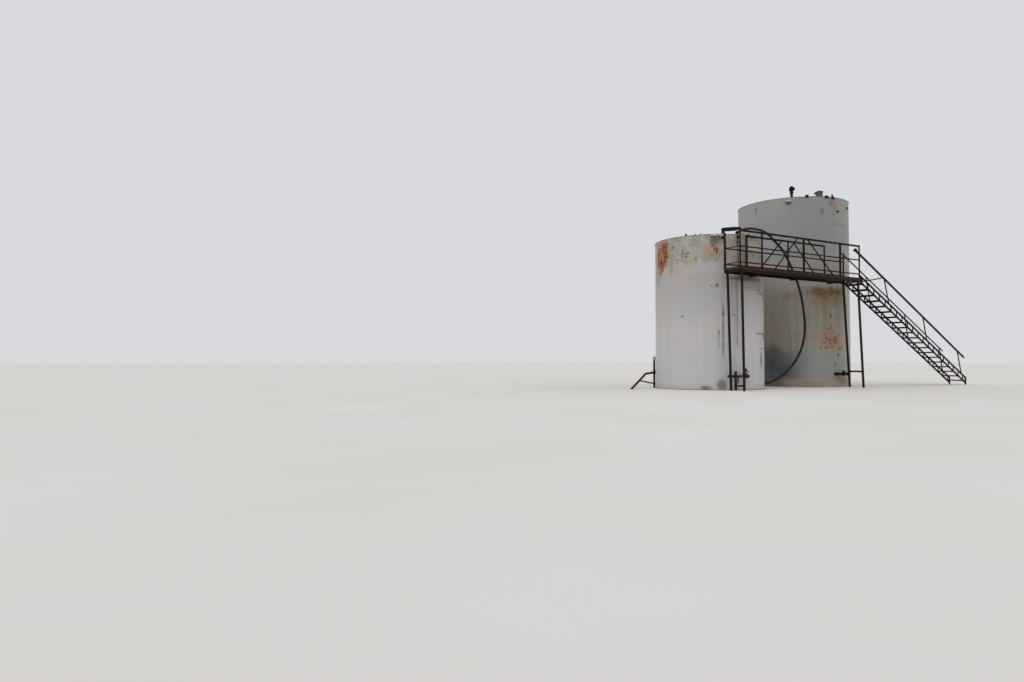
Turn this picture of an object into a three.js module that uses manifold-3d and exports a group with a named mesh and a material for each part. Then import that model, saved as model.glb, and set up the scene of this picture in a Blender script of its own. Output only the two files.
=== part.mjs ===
// A pair of upright welded steel storage tanks, one short and one tall, standing on the ground
// and joined by a raised steel walkway with handrails, legs and an open stair.
// Millimetres, +Z up. The drawing frame has x along the walkway from its left end, y from the
// walkway's front side towards the tanks, and z from the ground. The group is centred at the end.
import * as THREE from 'three';
import { mergeVertices } from 'three/addons/utils/BufferGeometryUtils.js';
import Module from 'manifold-3d';

const wasm = await Module();
wasm.setup();

// Tanks: centre of the base, outer radius of the wall and height of the wall's top edge.
const SHORT_TANK = { x: 1108, y: 2273, radius: 1650, height: 4600 };
const TALL_TANK = { x: 5806, y: 2760, radius: 1835, height: 6330 };
const WALL_PLATE = 6;
const FLOOR_PLATE = 8;
const FLOOR_LIP = 20;
const ROOF_PLATE = 6;
const ROOF_LIP = 12;
const ROOF_SLOPE = 1 / 12;
const WALL_PARTS = 4;
const FACETS_ROUND = 48;
const JOINT_GAP = 0.3;

// Working values: vertices closer than MERGE_STEP are one, SPARE is the extra length that a piece has
// before its ends are trimmed, and SINK is how deep a fitting starts inside what it is joined to.
const MERGE_STEP = 1e-3;
const SPARE = 400;
const SINK = 20;

// Walkway: the rail lines are WALK_WIDTH apart, and heights of the rails are above the deck.
const WALK_LENGTH = 5500;
const WALK_WIDTH = 560;
const DECK_TOP = 3530;
const DECK_END = 4720;
const DECK_PLATE = 8;
const CHANNEL_DEPTH = 150;
const CHANNEL_WIDTH = 44;
const CHANNEL_PLATE = 10;
const BEARER_SIZE = 45;
const BEARER_STATIONS = [1030, 2845, 4660];
const TOP_RAIL = 1020;
const MID_RAIL = 574;
const LOW_RAIL = 120;
const POST_STATIONS = [0, 905, 2760, 4520, WALK_LENGTH];
const FAR_END_POST_TOP = 866;
const THICK_TUBE = 33;
const RAIL_TUBE = 31;
const POST_TUBE = 24;
const THIN_TUBE = 20;
const BRACE_TUBE = 20;
const LIGHT_TUBE = 13;
const FRONT_BRACES = [[1459, 2484], [4147, 2928]];
const BACK_BRACES = [[1400, 2479], [4115, 3005]];

// Tie between the back left post and the short tank: top, bar size and the corner plate's reach, and
// how far the post's flat side lies inside its full radius.
const TIE = { z: 4500, bar: 50, drop: 380, corner: 160, toe: 40, plate: 12, overlap: 60, flat: 0.7 };

// Legs: stations of their tops and feet along the walkway, and how far they stand inside its sides.
const LEG_RADIUS = 36;
const LEG_SIDES = 10;
const LEFT_LEGS = { top: 80, foot: 160 };
const RIGHT_LEGS = { top: 5450, foot: 5700 };
const LEG_INSET = { top: 20, foot: 40 };
const STRUT_HEIGHT = 517;
const STRUT_TUBE = 28;

// Stair: equal steps down from the deck, carried by two open stringers.
const TREAD_COUNT = 20;
const RISE = DECK_TOP / (TREAD_COUNT + 1);
const STAIR_SLOPE = 0.536;
const STAIR_HEAD = WALK_LENGTH + POST_TUBE + JOINT_GAP;
const GOING = RISE / STAIR_SLOPE;
const TREAD_DEPTH = 250;
const TREAD_PLATE = 44;
const TOP_CHORD = 78;
const BOTTOM_CHORD = -110;
const CHORD_SIZE = 44;
const LINK_WIDTH = 60;
const LINK_PLATE = 10;
const STAIR_RUN = 6290;
const NEAR_HANDRAIL = { height: 705, head: -290, end: 6060, tube: 33, offset: 60 };
const FAR_HANDRAIL = { height: 865, head: 0, end: 5920, tube: 21, offset: 47 };
const HANDRAIL_KNOB = 60;
const STAIR_POSTS = [{ foot: 1516, top: 1270 }, { foot: 3714, top: 3504 }, { foot: 5901, top: 5671 }];
const STAIR_POST_TUBE = 19;
const STAIR_POST_LAP = 30;
const CORNER_ROD = { foot: 81, footZ: 3406, head: 1190, tube: 18 };

// Fittings.
const HATCH = { x: 5366, y: 1323, hole: 92, neck: 108, rise: 200 };
const LID = { radius: 124, plate: 26, grip: 40, gripRise: 30 };
const LID_TONGUE = { width: 56, lap: 30, thinner: 8 };
const HATCH_HINGE = { offset: 150, knuckle: 14, axisRise: 5 };
const HINGE_EAR = { plate: 12, spread: 80, drop: 60, waist: 6, top: 19 };
const VENT = { stem: 36, head: 84, rise: 650, headHeight: 185 };
const INLET = { x: 410, y: 1000, bend: 4765, end: [1000, 955, 4848], pipe: 50, collar: 78, collarRise: 24 };
const HOSE_RADIUS = 38;
const HOSE_SIDES = 10;
const HOSE_STEPS = 66;
const HOSE_ROUTE = [
  [1000.6, 954.95, 4848.08], [1045, 951.6, 4854.3], [1137, 944.5, 4826], [1300, 930, 4860], [1500, 917, 4892],
  [1760, 905, 4889], [2040, 900, 4858],
  [2290, 903, 4770], [2580, 912, 4600], [3064, 935, 4262], [3505, 962, 3708], [3712, 985, 3433],
  [4010, 1020, 2790], [4195, 1065, 1930], [4170, 1105, 1520], [4060, 1145, 1170], [3810, 1195, 800],
  [3440, 1245, 478], [3085, 1285, 275], [2850, 1290, 200], [2720, 1266, 176], [2617.96, 1329.48, 175],
];
const HOSE_NOZZLE = { angle: -32, z: 175, reach: 130, pipe: 46 };
const PIPE_SIDES = 10;
const FRONT_PIPES = { x: 364, y: 530, nozzle: 409, top: 556, end: 920, valve: 790, pipe: 36, tee: 60 };
const LOW_PIPE = { z: 130, end: 680, pipe: 24 };
const DRIP_LEG = { x: 462, foot: 200, pipe: 17 };
const CAP = { radius: 50, height: 12 };
const VALVE = { body: 66, stem: 18, rise: 190, flange: 58, flangeFrom: 64, flangeTo: 84 };
const LEVER = {
  hub: 24, hubHeight: 30, start: 12, lap: 8, slope: 0.82, length: 150, halfWidth: 14, plate: 12,
};
const OUTLET = { start: 5550, end: 6000, y: 790, z: 430, valve: 5780, pipe: 46, elbow: 60 };
const OUTLET_VALVE = { body: 72, rise: 118, rim: 60, rimWidth: 24 };
const RISER = { angle: 138.5, radial: 1702, top: 1000, tee: 490, foot: [-1660, 2760], pipe: 34 };
const RISER_FITTING = { cap: 44, capHeight: 130, body: 48 };
const RISER_BEND = { x: -450, y: -100, z: -40 };
const RISER_LINK = { z: 133, share: 0.45, pipe: 22 };

// Finishes.
const finish = (color, roughness, metalness) =>
  new THREE.MeshStandardMaterial({ color, roughness, metalness });
const whitePaint = finish(0xc4c0b8, 0.6, 0.1);
const greyPaint = finish(0xa9a8a4, 0.65, 0.1);
const rustySteel = finish(0x3b2a22, 0.85, 0.4);
const darkSteel = finish(0x2c241f, 0.8, 0.5);
const blackHose = finish(0x151515, 0.55, 0.0);

const part = new THREE.Group();

function place(name, geometry, material, parent = part) {
  const mesh = new THREE.Mesh(geometry, material);
  mesh.name = name;
  parent.add(mesh);
  return mesh;
}

// Solids: geometry to manifold and back, so that pieces can be joined and cut.
function toSolid(geometry) {
  const bare = geometry.clone();
  bare.deleteAttribute('normal');
  bare.deleteAttribute('uv');
  const merged = mergeVertices(bare, MERGE_STEP);
  return new wasm.Manifold(new wasm.Mesh({
    numProp: 3,
    vertProperties: new Float32Array(merged.attributes.position.array),
    triVerts: new Uint32Array(merged.index.array),
  }));
}

function toGeometry(solid) {
  const mesh = solid.getMesh();
  const geometry = new THREE.BufferGeometry();
  geometry.setAttribute('position', new THREE.BufferAttribute(mesh.vertProperties, 3));
  geometry.setIndex(new THREE.BufferAttribute(mesh.triVerts, 1));
  geometry.computeVertexNormals();
  return geometry;
}

const join = (geometries) => geometries.map(toSolid).reduce((a, b) => a.add(b));
const cut = (solid, geometries) => geometries.map(toSolid).reduce((a, b) => a.subtract(b), solid);

// Simple shapes placed in the drawing frame.
function block(x0, x1, y0, y1, z0, z1) {
  const geometry = new THREE.BoxGeometry(x1 - x0, y1 - y0, z1 - z0);
  return geometry.translate((x0 + x1) / 2, (y0 + y1) / 2, (z0 + z1) / 2);
}

function tube(from, to, radius, sides = 8) {
  const start = new THREE.Vector3(...from);
  const run = new THREE.Vector3(...to).sub(start);
  const geometry = new THREE.CylinderGeometry(radius, radius, run.length(), sides);
  geometry.translate(0, run.length() / 2, 0);
  const up = new THREE.Vector3(0, 1, 0);
  geometry.applyQuaternion(new THREE.Quaternion().setFromUnitVectors(up, run.clone().normalize()));
  return geometry.translate(start.x, start.y, start.z);
}

function ball(centre, radius) {
  return new THREE.SphereGeometry(radius, 10, 7).translate(...centre);
}

function upright(x, y, z0, z1, radius, sides = 16) {
  return tube([x, y, z0], [x, y, z1], radius, sides);
}

// A plate tank: floor with a narrow lip, wall in equal curved parts, low conical roof.
function wallPart(tank, index) {
  const step = (2 * Math.PI) / WALL_PARTS;
  const slack = JOINT_GAP / tank.radius;
  const from = index * step + slack;
  const to = (index + 1) * step - slack;
  const facets = FACETS_ROUND / WALL_PARTS;
  const angles = Array.from({ length: facets + 1 }, (_, i) => from + ((to - from) * i) / facets);
  const inner = tank.radius - WALL_PLATE;
  const shape = new THREE.Shape([
    ...angles.map((a) => new THREE.Vector2(tank.radius * Math.cos(a), tank.radius * Math.sin(a))),
    ...angles.reverse().map((a) => new THREE.Vector2(inner * Math.cos(a), inner * Math.sin(a))),
  ]);
  const bottom = FLOOR_PLATE + JOINT_GAP;
  const geometry = new THREE.ExtrudeGeometry(shape, { depth: tank.height - bottom, bevelEnabled: false });
  return geometry.translate(tank.x, tank.y, bottom);
}

const roofRise = (tank, radius) => (tank.radius - radius) * ROOF_SLOPE;

function roofCone(tank) {
  const edge = tank.radius + ROOF_LIP;
  const base = tank.height + JOINT_GAP;
  const crown = base + roofRise(tank, 0);
  const profile = [[0, crown], [tank.radius, base], [edge, base], [edge, base + ROOF_PLATE],
    [tank.radius, base + ROOF_PLATE], [0, crown + ROOF_PLATE]];
  const points = profile.map(([r, z]) => new THREE.Vector2(r, z));
  const geometry = new THREE.LatheGeometry(points, FACETS_ROUND);
  return geometry.rotateX(Math.PI / 2).translate(tank.x, tank.y, 0);
}

// The space under a roof's outer face, raised by the gap that a fitting standing on it keeps.
function roofSpace(tank) {
  const top = tank.height + ROOF_PLATE + 2 * JOINT_GAP;
  const low = top - SPARE;
  const profile = [[0, low], [tank.radius, low], [tank.radius, top], [0, top + roofRise(tank, 0)]];
  const points = profile.map(([r, z]) => new THREE.Vector2(r, z));
  return new THREE.LatheGeometry(points, FACETS_ROUND).rotateX(Math.PI / 2).translate(tank.x, tank.y, 0);
}

// A tank's own space near the ground, grown by the gap that pipework ending at its wall keeps.
function tankSpace(tank) {
  const wall = upright(tank.x, tank.y, -SINK, tank.height, tank.radius + JOINT_GAP, FACETS_ROUND);
  const lip = tank.radius + FLOOR_LIP + JOINT_GAP;
  const floor = upright(tank.x, tank.y, -SINK, FLOOR_PLATE + JOINT_GAP, lip, FACETS_ROUND);
  return toGeometry(join([wall, floor]));
}

function tankShell(prefix, tank, paint) {
  const floor = upright(tank.x, tank.y, 0, FLOOR_PLATE, tank.radius + FLOOR_LIP, FACETS_ROUND);
  place(`${prefix}_floor`, floor, darkSteel);
  for (let i = 0; i < WALL_PARTS; i += 1) {
    place(`${prefix}_wall_${i + 1}`, wallPart(tank, i), paint);
  }
}

// Walkway deck and frame.
function channel(y0, flangeSide) {
  const top = DECK_TOP;
  const bottom = DECK_TOP - CHANNEL_DEPTH;
  const y1 = y0 + CHANNEL_WIDTH;
  const web = flangeSide > 0 ? [y0, y0 + CHANNEL_PLATE] : [y1 - CHANNEL_PLATE, y1];
  const ends = [-POST_TUBE, WALK_LENGTH + POST_TUBE];
  return toGeometry(join([
    block(...ends, web[0], web[1], bottom, top),
    block(...ends, y0, y1, bottom, bottom + CHANNEL_PLATE),
    block(...ends, y0, y1, top - CHANNEL_PLATE, top),
  ]));
}

function walkwayFrame() {
  const half = CHANNEL_WIDTH / 2;
  place('front_channel', channel(-half, 1), rustySteel);
  place('back_channel', channel(WALK_WIDTH - half, -1), rustySteel);
  const inside = [half + JOINT_GAP, WALK_WIDTH - half - JOINT_GAP];
  const deck = block(0, DECK_END, inside[0], inside[1], DECK_TOP - DECK_PLATE, DECK_TOP);
  place('deck_plate', deck, rustySteel);
  const under = DECK_TOP - CHANNEL_DEPTH - JOINT_GAP;
  BEARER_STATIONS.forEach((x, i) => {
    const bearer = block(x, x + BEARER_SIZE, -half, WALK_WIDTH + half, under - BEARER_SIZE, under);
    place(`cross_bearer_${i + 1}`, bearer, rustySteel);
  });
  const low = DECK_TOP - CHANNEL_DEPTH;
  const high = DECK_TOP - DECK_PLATE - JOINT_GAP;
  const start = -POST_TUBE;
  place('left_end_bar', block(start, start + CHANNEL_PLATE, inside[0], inside[1], low, high), rustySteel);
  const end = WALK_LENGTH + POST_TUBE;
  const endBar = block(end - BEARER_SIZE, end, inside[0], inside[1], low, low + BEARER_SIZE);
  place('right_end_bar', endBar, rustySteel);
}

// A side of the walkway's handrail: posts, three rails and two braces that lean to the middle post.
function sideRail(y, thickPosts, topFrom, topTo, endPostTop, braces, more = []) {
  const deck = DECK_TOP + JOINT_GAP;
  const at = (x, height) => [x, y, DECK_TOP + height];
  const rail = (from, to, height, radius) => tube(at(from, height), at(to, height), radius);
  const pieces = [
    rail(topFrom, topTo, TOP_RAIL, RAIL_TUBE),
    rail(0, WALK_LENGTH, MID_RAIL, THIN_TUBE),
    rail(0, WALK_LENGTH, LOW_RAIL, THIN_TUBE),
    ball(at(topFrom, TOP_RAIL), RAIL_TUBE + 1),
    ball(at(topTo, TOP_RAIL), RAIL_TUBE + 1),
    ...more,
  ];
  POST_STATIONS.forEach((x, i) => {
    const last = i === POST_STATIONS.length - 1;
    const top = last ? endPostTop : TOP_RAIL;
    const radius = thickPosts.includes(i) ? THICK_TUBE : POST_TUBE;
    pieces.push(tube(at(x, JOINT_GAP), at(x, top), radius));
  });
  braces.forEach(([foot, head]) => {
    pieces.push(tube(at(foot, DECK_PLATE), at(head, TOP_RAIL), BRACE_TUBE));
  });
  const slab = block(-SPARE, WALK_LENGTH + SPARE, y - SPARE, y + SPARE, DECK_TOP - SPARE, deck);
  return toGeometry(cut(join(pieces), [slab]));
}

function walkwayRails() {
  const front = sideRail(0, [2, 3], 0, WALK_LENGTH, TOP_RAIL, FRONT_BRACES);
  place('front_handrail', front, rustySteel);
  const acrossEnd = [MID_RAIL, LOW_RAIL].map((height) => {
    const z = DECK_TOP + height;
    return tube([0, POST_TUBE + JOINT_GAP, z], [0, WALK_WIDTH, z], LIGHT_TUBE);
  });
  const [, topFrom, , topTo] = POST_STATIONS;
  const back = sideRail(WALK_WIDTH, [0, 1], topFrom, topTo, FAR_END_POST_TOP, BACK_BRACES, acrossEnd);
  place('back_handrail', back, rustySteel);
}

// The bar with a corner plate that ties the walkway's back left post to the short tank's wall.
function tieBracket() {
  const dx = SHORT_TANK.x;
  const dy = SHORT_TANK.y - WALK_WIDTH;
  const reach = Math.hypot(dx, dy);
  const from = THICK_TUBE - TIE.flat + JOINT_GAP;
  const plate = new THREE.Shape([
    new THREE.Vector2(from, TIE.z), new THREE.Vector2(from, TIE.z - TIE.drop),
    new THREE.Vector2(from + TIE.toe, TIE.z - TIE.drop), new THREE.Vector2(from + TIE.corner, TIE.z),
  ]);
  const corner = new THREE.ExtrudeGeometry(plate, { depth: TIE.plate, bevelEnabled: false });
  corner.translate(0, 0, -TIE.plate / 2).rotateX(Math.PI / 2);
  const end = reach - SHORT_TANK.radius + TIE.overlap;
  const bar = block(from, end, -TIE.bar / 2, TIE.bar / 2, TIE.z - TIE.bar, TIE.z);
  const turn = Math.atan2(dy, dx);
  const pieces = [corner, bar].map((piece) => piece.rotateZ(turn).translate(0, WALK_WIDTH, 0));
  place('tie_bracket', toGeometry(cut(join(pieces), [tankSpace(SHORT_TANK)])), rustySteel);
}

function legs() {
  const top = DECK_TOP - CHANNEL_DEPTH - JOINT_GAP;
  const across = [-SPARE, WALK_LENGTH + SPARE, -SPARE, WALK_WIDTH + SPARE];
  const trim = [block(...across, -SPARE, 0), block(...across, top, top + SPARE)];
  const sides = [['front', 0, 1], ['back', WALK_WIDTH, -1]];
  [['left', LEFT_LEGS], ['right', RIGHT_LEGS]].forEach(([end, stations]) => {
    sides.forEach(([side, y, inwards]) => {
      const foot = new THREE.Vector3(stations.foot, y + inwards * LEG_INSET.foot, 0);
      const head = new THREE.Vector3(stations.top, y + inwards * LEG_INSET.top, top);
      const spare = head.clone().sub(foot).setLength(SINK);
      const from = foot.clone().sub(spare).toArray();
      const to = head.clone().add(spare).toArray();
      const solid = toSolid(tube(from, to, LEG_RADIUS, LEG_SIDES));
      place(`${end}_${side}_leg`, toGeometry(cut(solid, trim)), rustySteel);
    });
  });
  const share = STRUT_HEIGHT / top;
  const along = RIGHT_LEGS.foot + (RIGHT_LEGS.top - RIGHT_LEGS.foot) * share;
  const clear = LEG_INSET.foot + (LEG_INSET.top - LEG_INSET.foot) * share + LEG_RADIUS + JOINT_GAP;
  const strut = tube([along, clear, STRUT_HEIGHT], [along, WALK_WIDTH - clear, STRUT_HEIGHT], STRUT_TUBE);
  place('leg_strut', strut, rustySteel);
}

// Stair. Heights on the slope are given at distance d beyond the walkway's end.
const onSlope = (height, d) => DECK_TOP + height - STAIR_SLOPE * d;

function chord(y, height) {
  const from = [WALK_LENGTH, onSlope(height, 0)];
  const to = [WALK_LENGTH + STAIR_RUN + SPARE, onSlope(height, STAIR_RUN + SPARE)];
  const run = Math.hypot(to[0] - from[0], to[1] - from[1]) + SPARE;
  const geometry = new THREE.BoxGeometry(run, CHORD_SIZE, CHORD_SIZE);
  geometry.rotateY(Math.atan(STAIR_SLOPE));
  return geometry.translate((from[0] + to[0]) / 2, y, (from[1] + to[1]) / 2);
}

function stringer(y, linkSide) {
  const pieces = [chord(y, TOP_CHORD), chord(y, BOTTOM_CHORD)];
  const face = y + (linkSide * CHORD_SIZE) / 2;
  const [y0, y1] = linkSide > 0 ? [face - LINK_PLATE, face] : [face, face + LINK_PLATE];
  for (let i = 1; i <= TREAD_COUNT; i += 1) {
    const d = (i - 0.5) * GOING;
    const x = WALK_LENGTH + d;
    const heights = [onSlope(BOTTOM_CHORD, d), onSlope(TOP_CHORD, d)];
    pieces.push(block(x - LINK_WIDTH / 2, x + LINK_WIDTH / 2, y0, y1, ...heights));
  }
  const half = CHORD_SIZE / 2;
  const head = STAIR_HEAD;
  const foot = WALK_LENGTH + STAIR_RUN;
  const sides = [y - half, y + half];
  pieces.push(block(head, head + CHORD_SIZE, ...sides, onSlope(BOTTOM_CHORD, 0), onSlope(TOP_CHORD, 0)));
  pieces.push(block(foot - CHORD_SIZE, foot, ...sides, 0, onSlope(TOP_CHORD, STAIR_RUN)));
  const far = 2 * SPARE;
  const over = DECK_TOP + TOP_CHORD;
  const trims = [
    block(head - far, head, ...sides, 0, over + far),
    block(foot, foot + far, ...sides, -far, far),
    block(head - far, foot + far, ...sides, -far, 0),
    block(head - far, head + far, ...sides, over, over + far),
  ];
  return cut(join(pieces), trims);
}

// The handrail on one side of the stair. The near one has a knob at its head, and a rod from the
// walkway's corner to its first post.
function stairRail(y, side, rail) {
  const railY = y - side * rail.offset;
  const postY = y - side * (CHORD_SIZE / 2 + JOINT_GAP + STAIR_POST_TUBE);
  const at = (d, height, yy) => [WALK_LENGTH + d, yy, onSlope(height, d)];
  const head = at(rail.head, rail.height, railY);
  const pieces = [tube(head, at(rail.end, rail.height, railY), rail.tube)];
  STAIR_POSTS.forEach((post) => {
    const foot = at(post.foot, TOP_CHORD - STAIR_POST_LAP, postY);
    pieces.push(tube(foot, at(post.top, rail.height, postY), STAIR_POST_TUBE));
  });
  if (rail === NEAR_HANDRAIL) {
    const rodY = y - side * (CHORD_SIZE / 2 + JOINT_GAP + CORNER_ROD.tube);
    const rodFoot = [WALK_LENGTH + CORNER_ROD.foot, rodY, CORNER_ROD.footZ];
    const rodHead = at(CORNER_ROD.head, rail.height, rodY);
    pieces.push(ball(head, HANDRAIL_KNOB), tube(rodFoot, rodHead, CORNER_ROD.tube));
  }
  return join(pieces);
}

function stair() {
  place('front_stringer', toGeometry(stringer(0, 1)), rustySteel);
  place('back_stringer', toGeometry(stringer(WALK_WIDTH, -1)), rustySteel);
  place('front_stair_rail', toGeometry(stairRail(0, 1, NEAR_HANDRAIL)), rustySteel);
  place('back_stair_rail', toGeometry(stairRail(WALK_WIDTH, -1, FAR_HANDRAIL)), rustySteel);
  const inside = [CHORD_SIZE / 2 + JOINT_GAP, WALK_WIDTH - CHORD_SIZE / 2 - JOINT_GAP];
  const half = TREAD_DEPTH / 2;
  for (let i = 1; i <= TREAD_COUNT; i += 1) {
    const x = WALK_LENGTH + (i - 0.5) * GOING;
    const top = DECK_TOP - i * RISE;
    const tread = block(x - half, x + half, ...inside, top - TREAD_PLATE, top);
    place(`tread_${i}`, tread, rustySteel);
  }
}

// Roofs and what stands on them.
const HATCH_OUT = Math.hypot(HATCH.x - TALL_TANK.x, HATCH.y - TALL_TANK.y);
const HATCH_SEAT = TALL_TANK.height + roofRise(TALL_TANK, HATCH_OUT);
const NECK_TOP = HATCH_SEAT + HATCH.rise;
const HINGE_Y = HATCH.y + HATCH_HINGE.offset;

function hingeEar(x) {
  const side = [x - HINGE_EAR.plate / 2, x + HINGE_EAR.plate / 2];
  const back = HINGE_Y + HATCH_HINGE.knuckle;
  const waist = NECK_TOP - HINGE_EAR.waist;
  return [
    block(...side, HATCH.y + HATCH.neck - HINGE_EAR.plate, back, NECK_TOP - HINGE_EAR.drop, waist),
    block(...side, HINGE_Y - HATCH_HINGE.knuckle, back, waist - 1, NECK_TOP + HINGE_EAR.top),
  ];
}

function tallRoof() {
  const crown = TALL_TANK.height + roofRise(TALL_TANK, 0);
  const ventTop = crown + VENT.rise;
  const pieces = [
    roofCone(TALL_TANK),
    upright(HATCH.x, HATCH.y, HATCH_SEAT - SINK, NECK_TOP, HATCH.neck),
    ...hingeEar(HATCH.x - HINGE_EAR.spread / 2),
    ...hingeEar(HATCH.x + HINGE_EAR.spread / 2),
    upright(TALL_TANK.x, TALL_TANK.y, crown, ventTop - SINK, VENT.stem, 10),
    upright(TALL_TANK.x, TALL_TANK.y, ventTop - VENT.headHeight, ventTop, VENT.head, 12),
  ];
  const throat = upright(HATCH.x, HATCH.y, HATCH_SEAT - SPARE, NECK_TOP + SPARE, HATCH.hole);
  return toGeometry(cut(join(pieces), [throat]));
}

function hatchLid() {
  const bottom = NECK_TOP + JOINT_GAP;
  const top = bottom + LID.plate;
  const side = [HATCH.x - LID_TONGUE.width / 2, HATCH.x + LID_TONGUE.width / 2];
  const axisZ = NECK_TOP + HATCH_HINGE.axisRise;
  const tongueFrom = HATCH.y + LID.radius - LID_TONGUE.lap;
  return toGeometry(join([
    upright(HATCH.x, HATCH.y, bottom, top, LID.radius),
    block(...side, tongueFrom, HINGE_Y, bottom, top - LID_TONGUE.thinner),
    tube([side[0], HINGE_Y, axisZ], [side[1], HINGE_Y, axisZ], HATCH_HINGE.knuckle),
    upright(HATCH.x, HATCH.y, top - LID_TONGUE.thinner, top + LID.gripRise, LID.grip, 12),
  ]));
}

function roofs() {
  place('short_tank_roof', roofCone(SHORT_TANK), whitePaint);
  place('tall_tank_roof', tallRoof(), greyPaint);
  place('hatch_lid', hatchLid(), rustySteel);
}

// Pipework.
function inletAndHose() {
  const fromCentre = Math.hypot(INLET.x - SHORT_TANK.x, INLET.y - SHORT_TANK.y);
  const roofTop = SHORT_TANK.height + roofRise(SHORT_TANK, fromCentre) + ROOF_PLATE;
  const inlet = join([
    upright(INLET.x, INLET.y, roofTop - SINK, INLET.bend, INLET.pipe, 12),
    upright(INLET.x, INLET.y, roofTop - SINK, roofTop + INLET.collarRise, INLET.collar, 12),
    ball([INLET.x, INLET.y, INLET.bend], INLET.pipe + 2),
    tube([INLET.x, INLET.y, INLET.bend], INLET.end, INLET.pipe, 12),
  ]);
  place('inlet_pipe', toGeometry(cut(inlet, [roofSpace(SHORT_TANK)])), darkSteel);

  const nozzle = HOSE_NOZZLE;
  const angle = THREE.MathUtils.degToRad(nozzle.angle);
  const radial = (r, z) => [SHORT_TANK.x + r * Math.cos(angle), SHORT_TANK.y + r * Math.sin(angle), z];
  const tip = SHORT_TANK.radius + nozzle.reach;
  const root = SHORT_TANK.radius - 3 * SINK;
  const stub = toSolid(tube(radial(root, nozzle.z), radial(tip, nozzle.z), nozzle.pipe, 12));
  place('hose_nozzle', toGeometry(cut(stub, [tankSpace(SHORT_TANK)])), darkSteel);

  const route = HOSE_ROUTE.map((p) => new THREE.Vector3(...p));
  const curve = new THREE.CatmullRomCurve3(route, false, 'centripetal');
  const section = new THREE.Shape(Array.from({ length: HOSE_SIDES }, (_, i) => {
    const a = (i * 2 * Math.PI) / HOSE_SIDES;
    return new THREE.Vector2(HOSE_RADIUS * Math.cos(a), HOSE_RADIUS * Math.sin(a));
  }));
  const along = { steps: HOSE_STEPS, extrudePath: curve, bevelEnabled: false };
  const hose = new THREE.ExtrudeGeometry(section, along);
  place('hose', hose, blackHose);
}

function frontPipes() {
  const p = FRONT_PIPES;
  const wallY = SHORT_TANK.y - Math.sqrt(SHORT_TANK.radius ** 2 - (SHORT_TANK.x - p.x) ** 2);
  const across = (x0, x1, z, radius) => tube([x0, p.y, z], [x1, p.y, z], radius, PIPE_SIDES);
  const body = join([
    upright(p.x, p.y, 0, p.top, p.pipe, PIPE_SIDES),
    upright(p.x, p.y, p.top - CAP.height, p.top, CAP.radius, PIPE_SIDES),
    across(p.x, p.end, p.nozzle, p.pipe),
    across(p.x, LOW_PIPE.end, LOW_PIPE.z, LOW_PIPE.pipe),
    tube([p.x, p.y, p.nozzle], [p.x, wallY + SPARE / 2, p.nozzle], p.pipe, PIPE_SIDES),
    upright(DRIP_LEG.x, p.y, DRIP_LEG.foot, p.nozzle, DRIP_LEG.pipe, PIPE_SIDES),
    ball([p.x, p.y, p.nozzle], p.tee),
    ball([p.valve, p.y, p.nozzle], VALVE.body),
    across(p.valve - VALVE.flangeTo, p.valve - VALVE.flangeFrom, p.nozzle, VALVE.flange),
    across(p.valve + VALVE.flangeFrom, p.valve + VALVE.flangeTo, p.nozzle, VALVE.flange),
    upright(p.valve, p.y, p.nozzle, p.nozzle + VALVE.rise, VALVE.stem, PIPE_SIDES),
  ]);
  place('front_pipework', toGeometry(cut(body, [tankSpace(SHORT_TANK)])), darkSteel);
  const z = p.nozzle + VALVE.rise + JOINT_GAP;
  const handle = block(0, LEVER.length, -LEVER.halfWidth, LEVER.halfWidth, -LEVER.plate, 0);
  handle.rotateY(LEVER.slope).translate(p.valve + LEVER.start, p.y, z + LEVER.hubHeight);
  const lever = join([
    upright(p.valve, p.y, z, z + LEVER.hubHeight + LEVER.lap, LEVER.hub, PIPE_SIDES),
    handle,
  ]);
  place('valve_lever', toGeometry(lever), rustySteel);
}

function tallTankOutlet() {
  const o = OUTLET;
  const at = (x) => [x, o.y, o.z];
  const body = join([
    tube(at(o.start), [o.start, o.y + SPARE, o.z], o.pipe, PIPE_SIDES),
    ball(at(o.start), o.elbow),
    tube(at(o.start), at(o.end), o.pipe, PIPE_SIDES),
    ball(at(o.valve), OUTLET_VALVE.body),
    upright(o.valve, o.y, o.z, o.z + OUTLET_VALVE.rise, VALVE.stem, PIPE_SIDES),
    tube(at(o.end - OUTLET_VALVE.rimWidth), at(o.end), OUTLET_VALVE.rim, PIPE_SIDES),
  ]);
  place('tall_tank_outlet', toGeometry(cut(body, [tankSpace(TALL_TANK)])), darkSteel);
}

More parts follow.
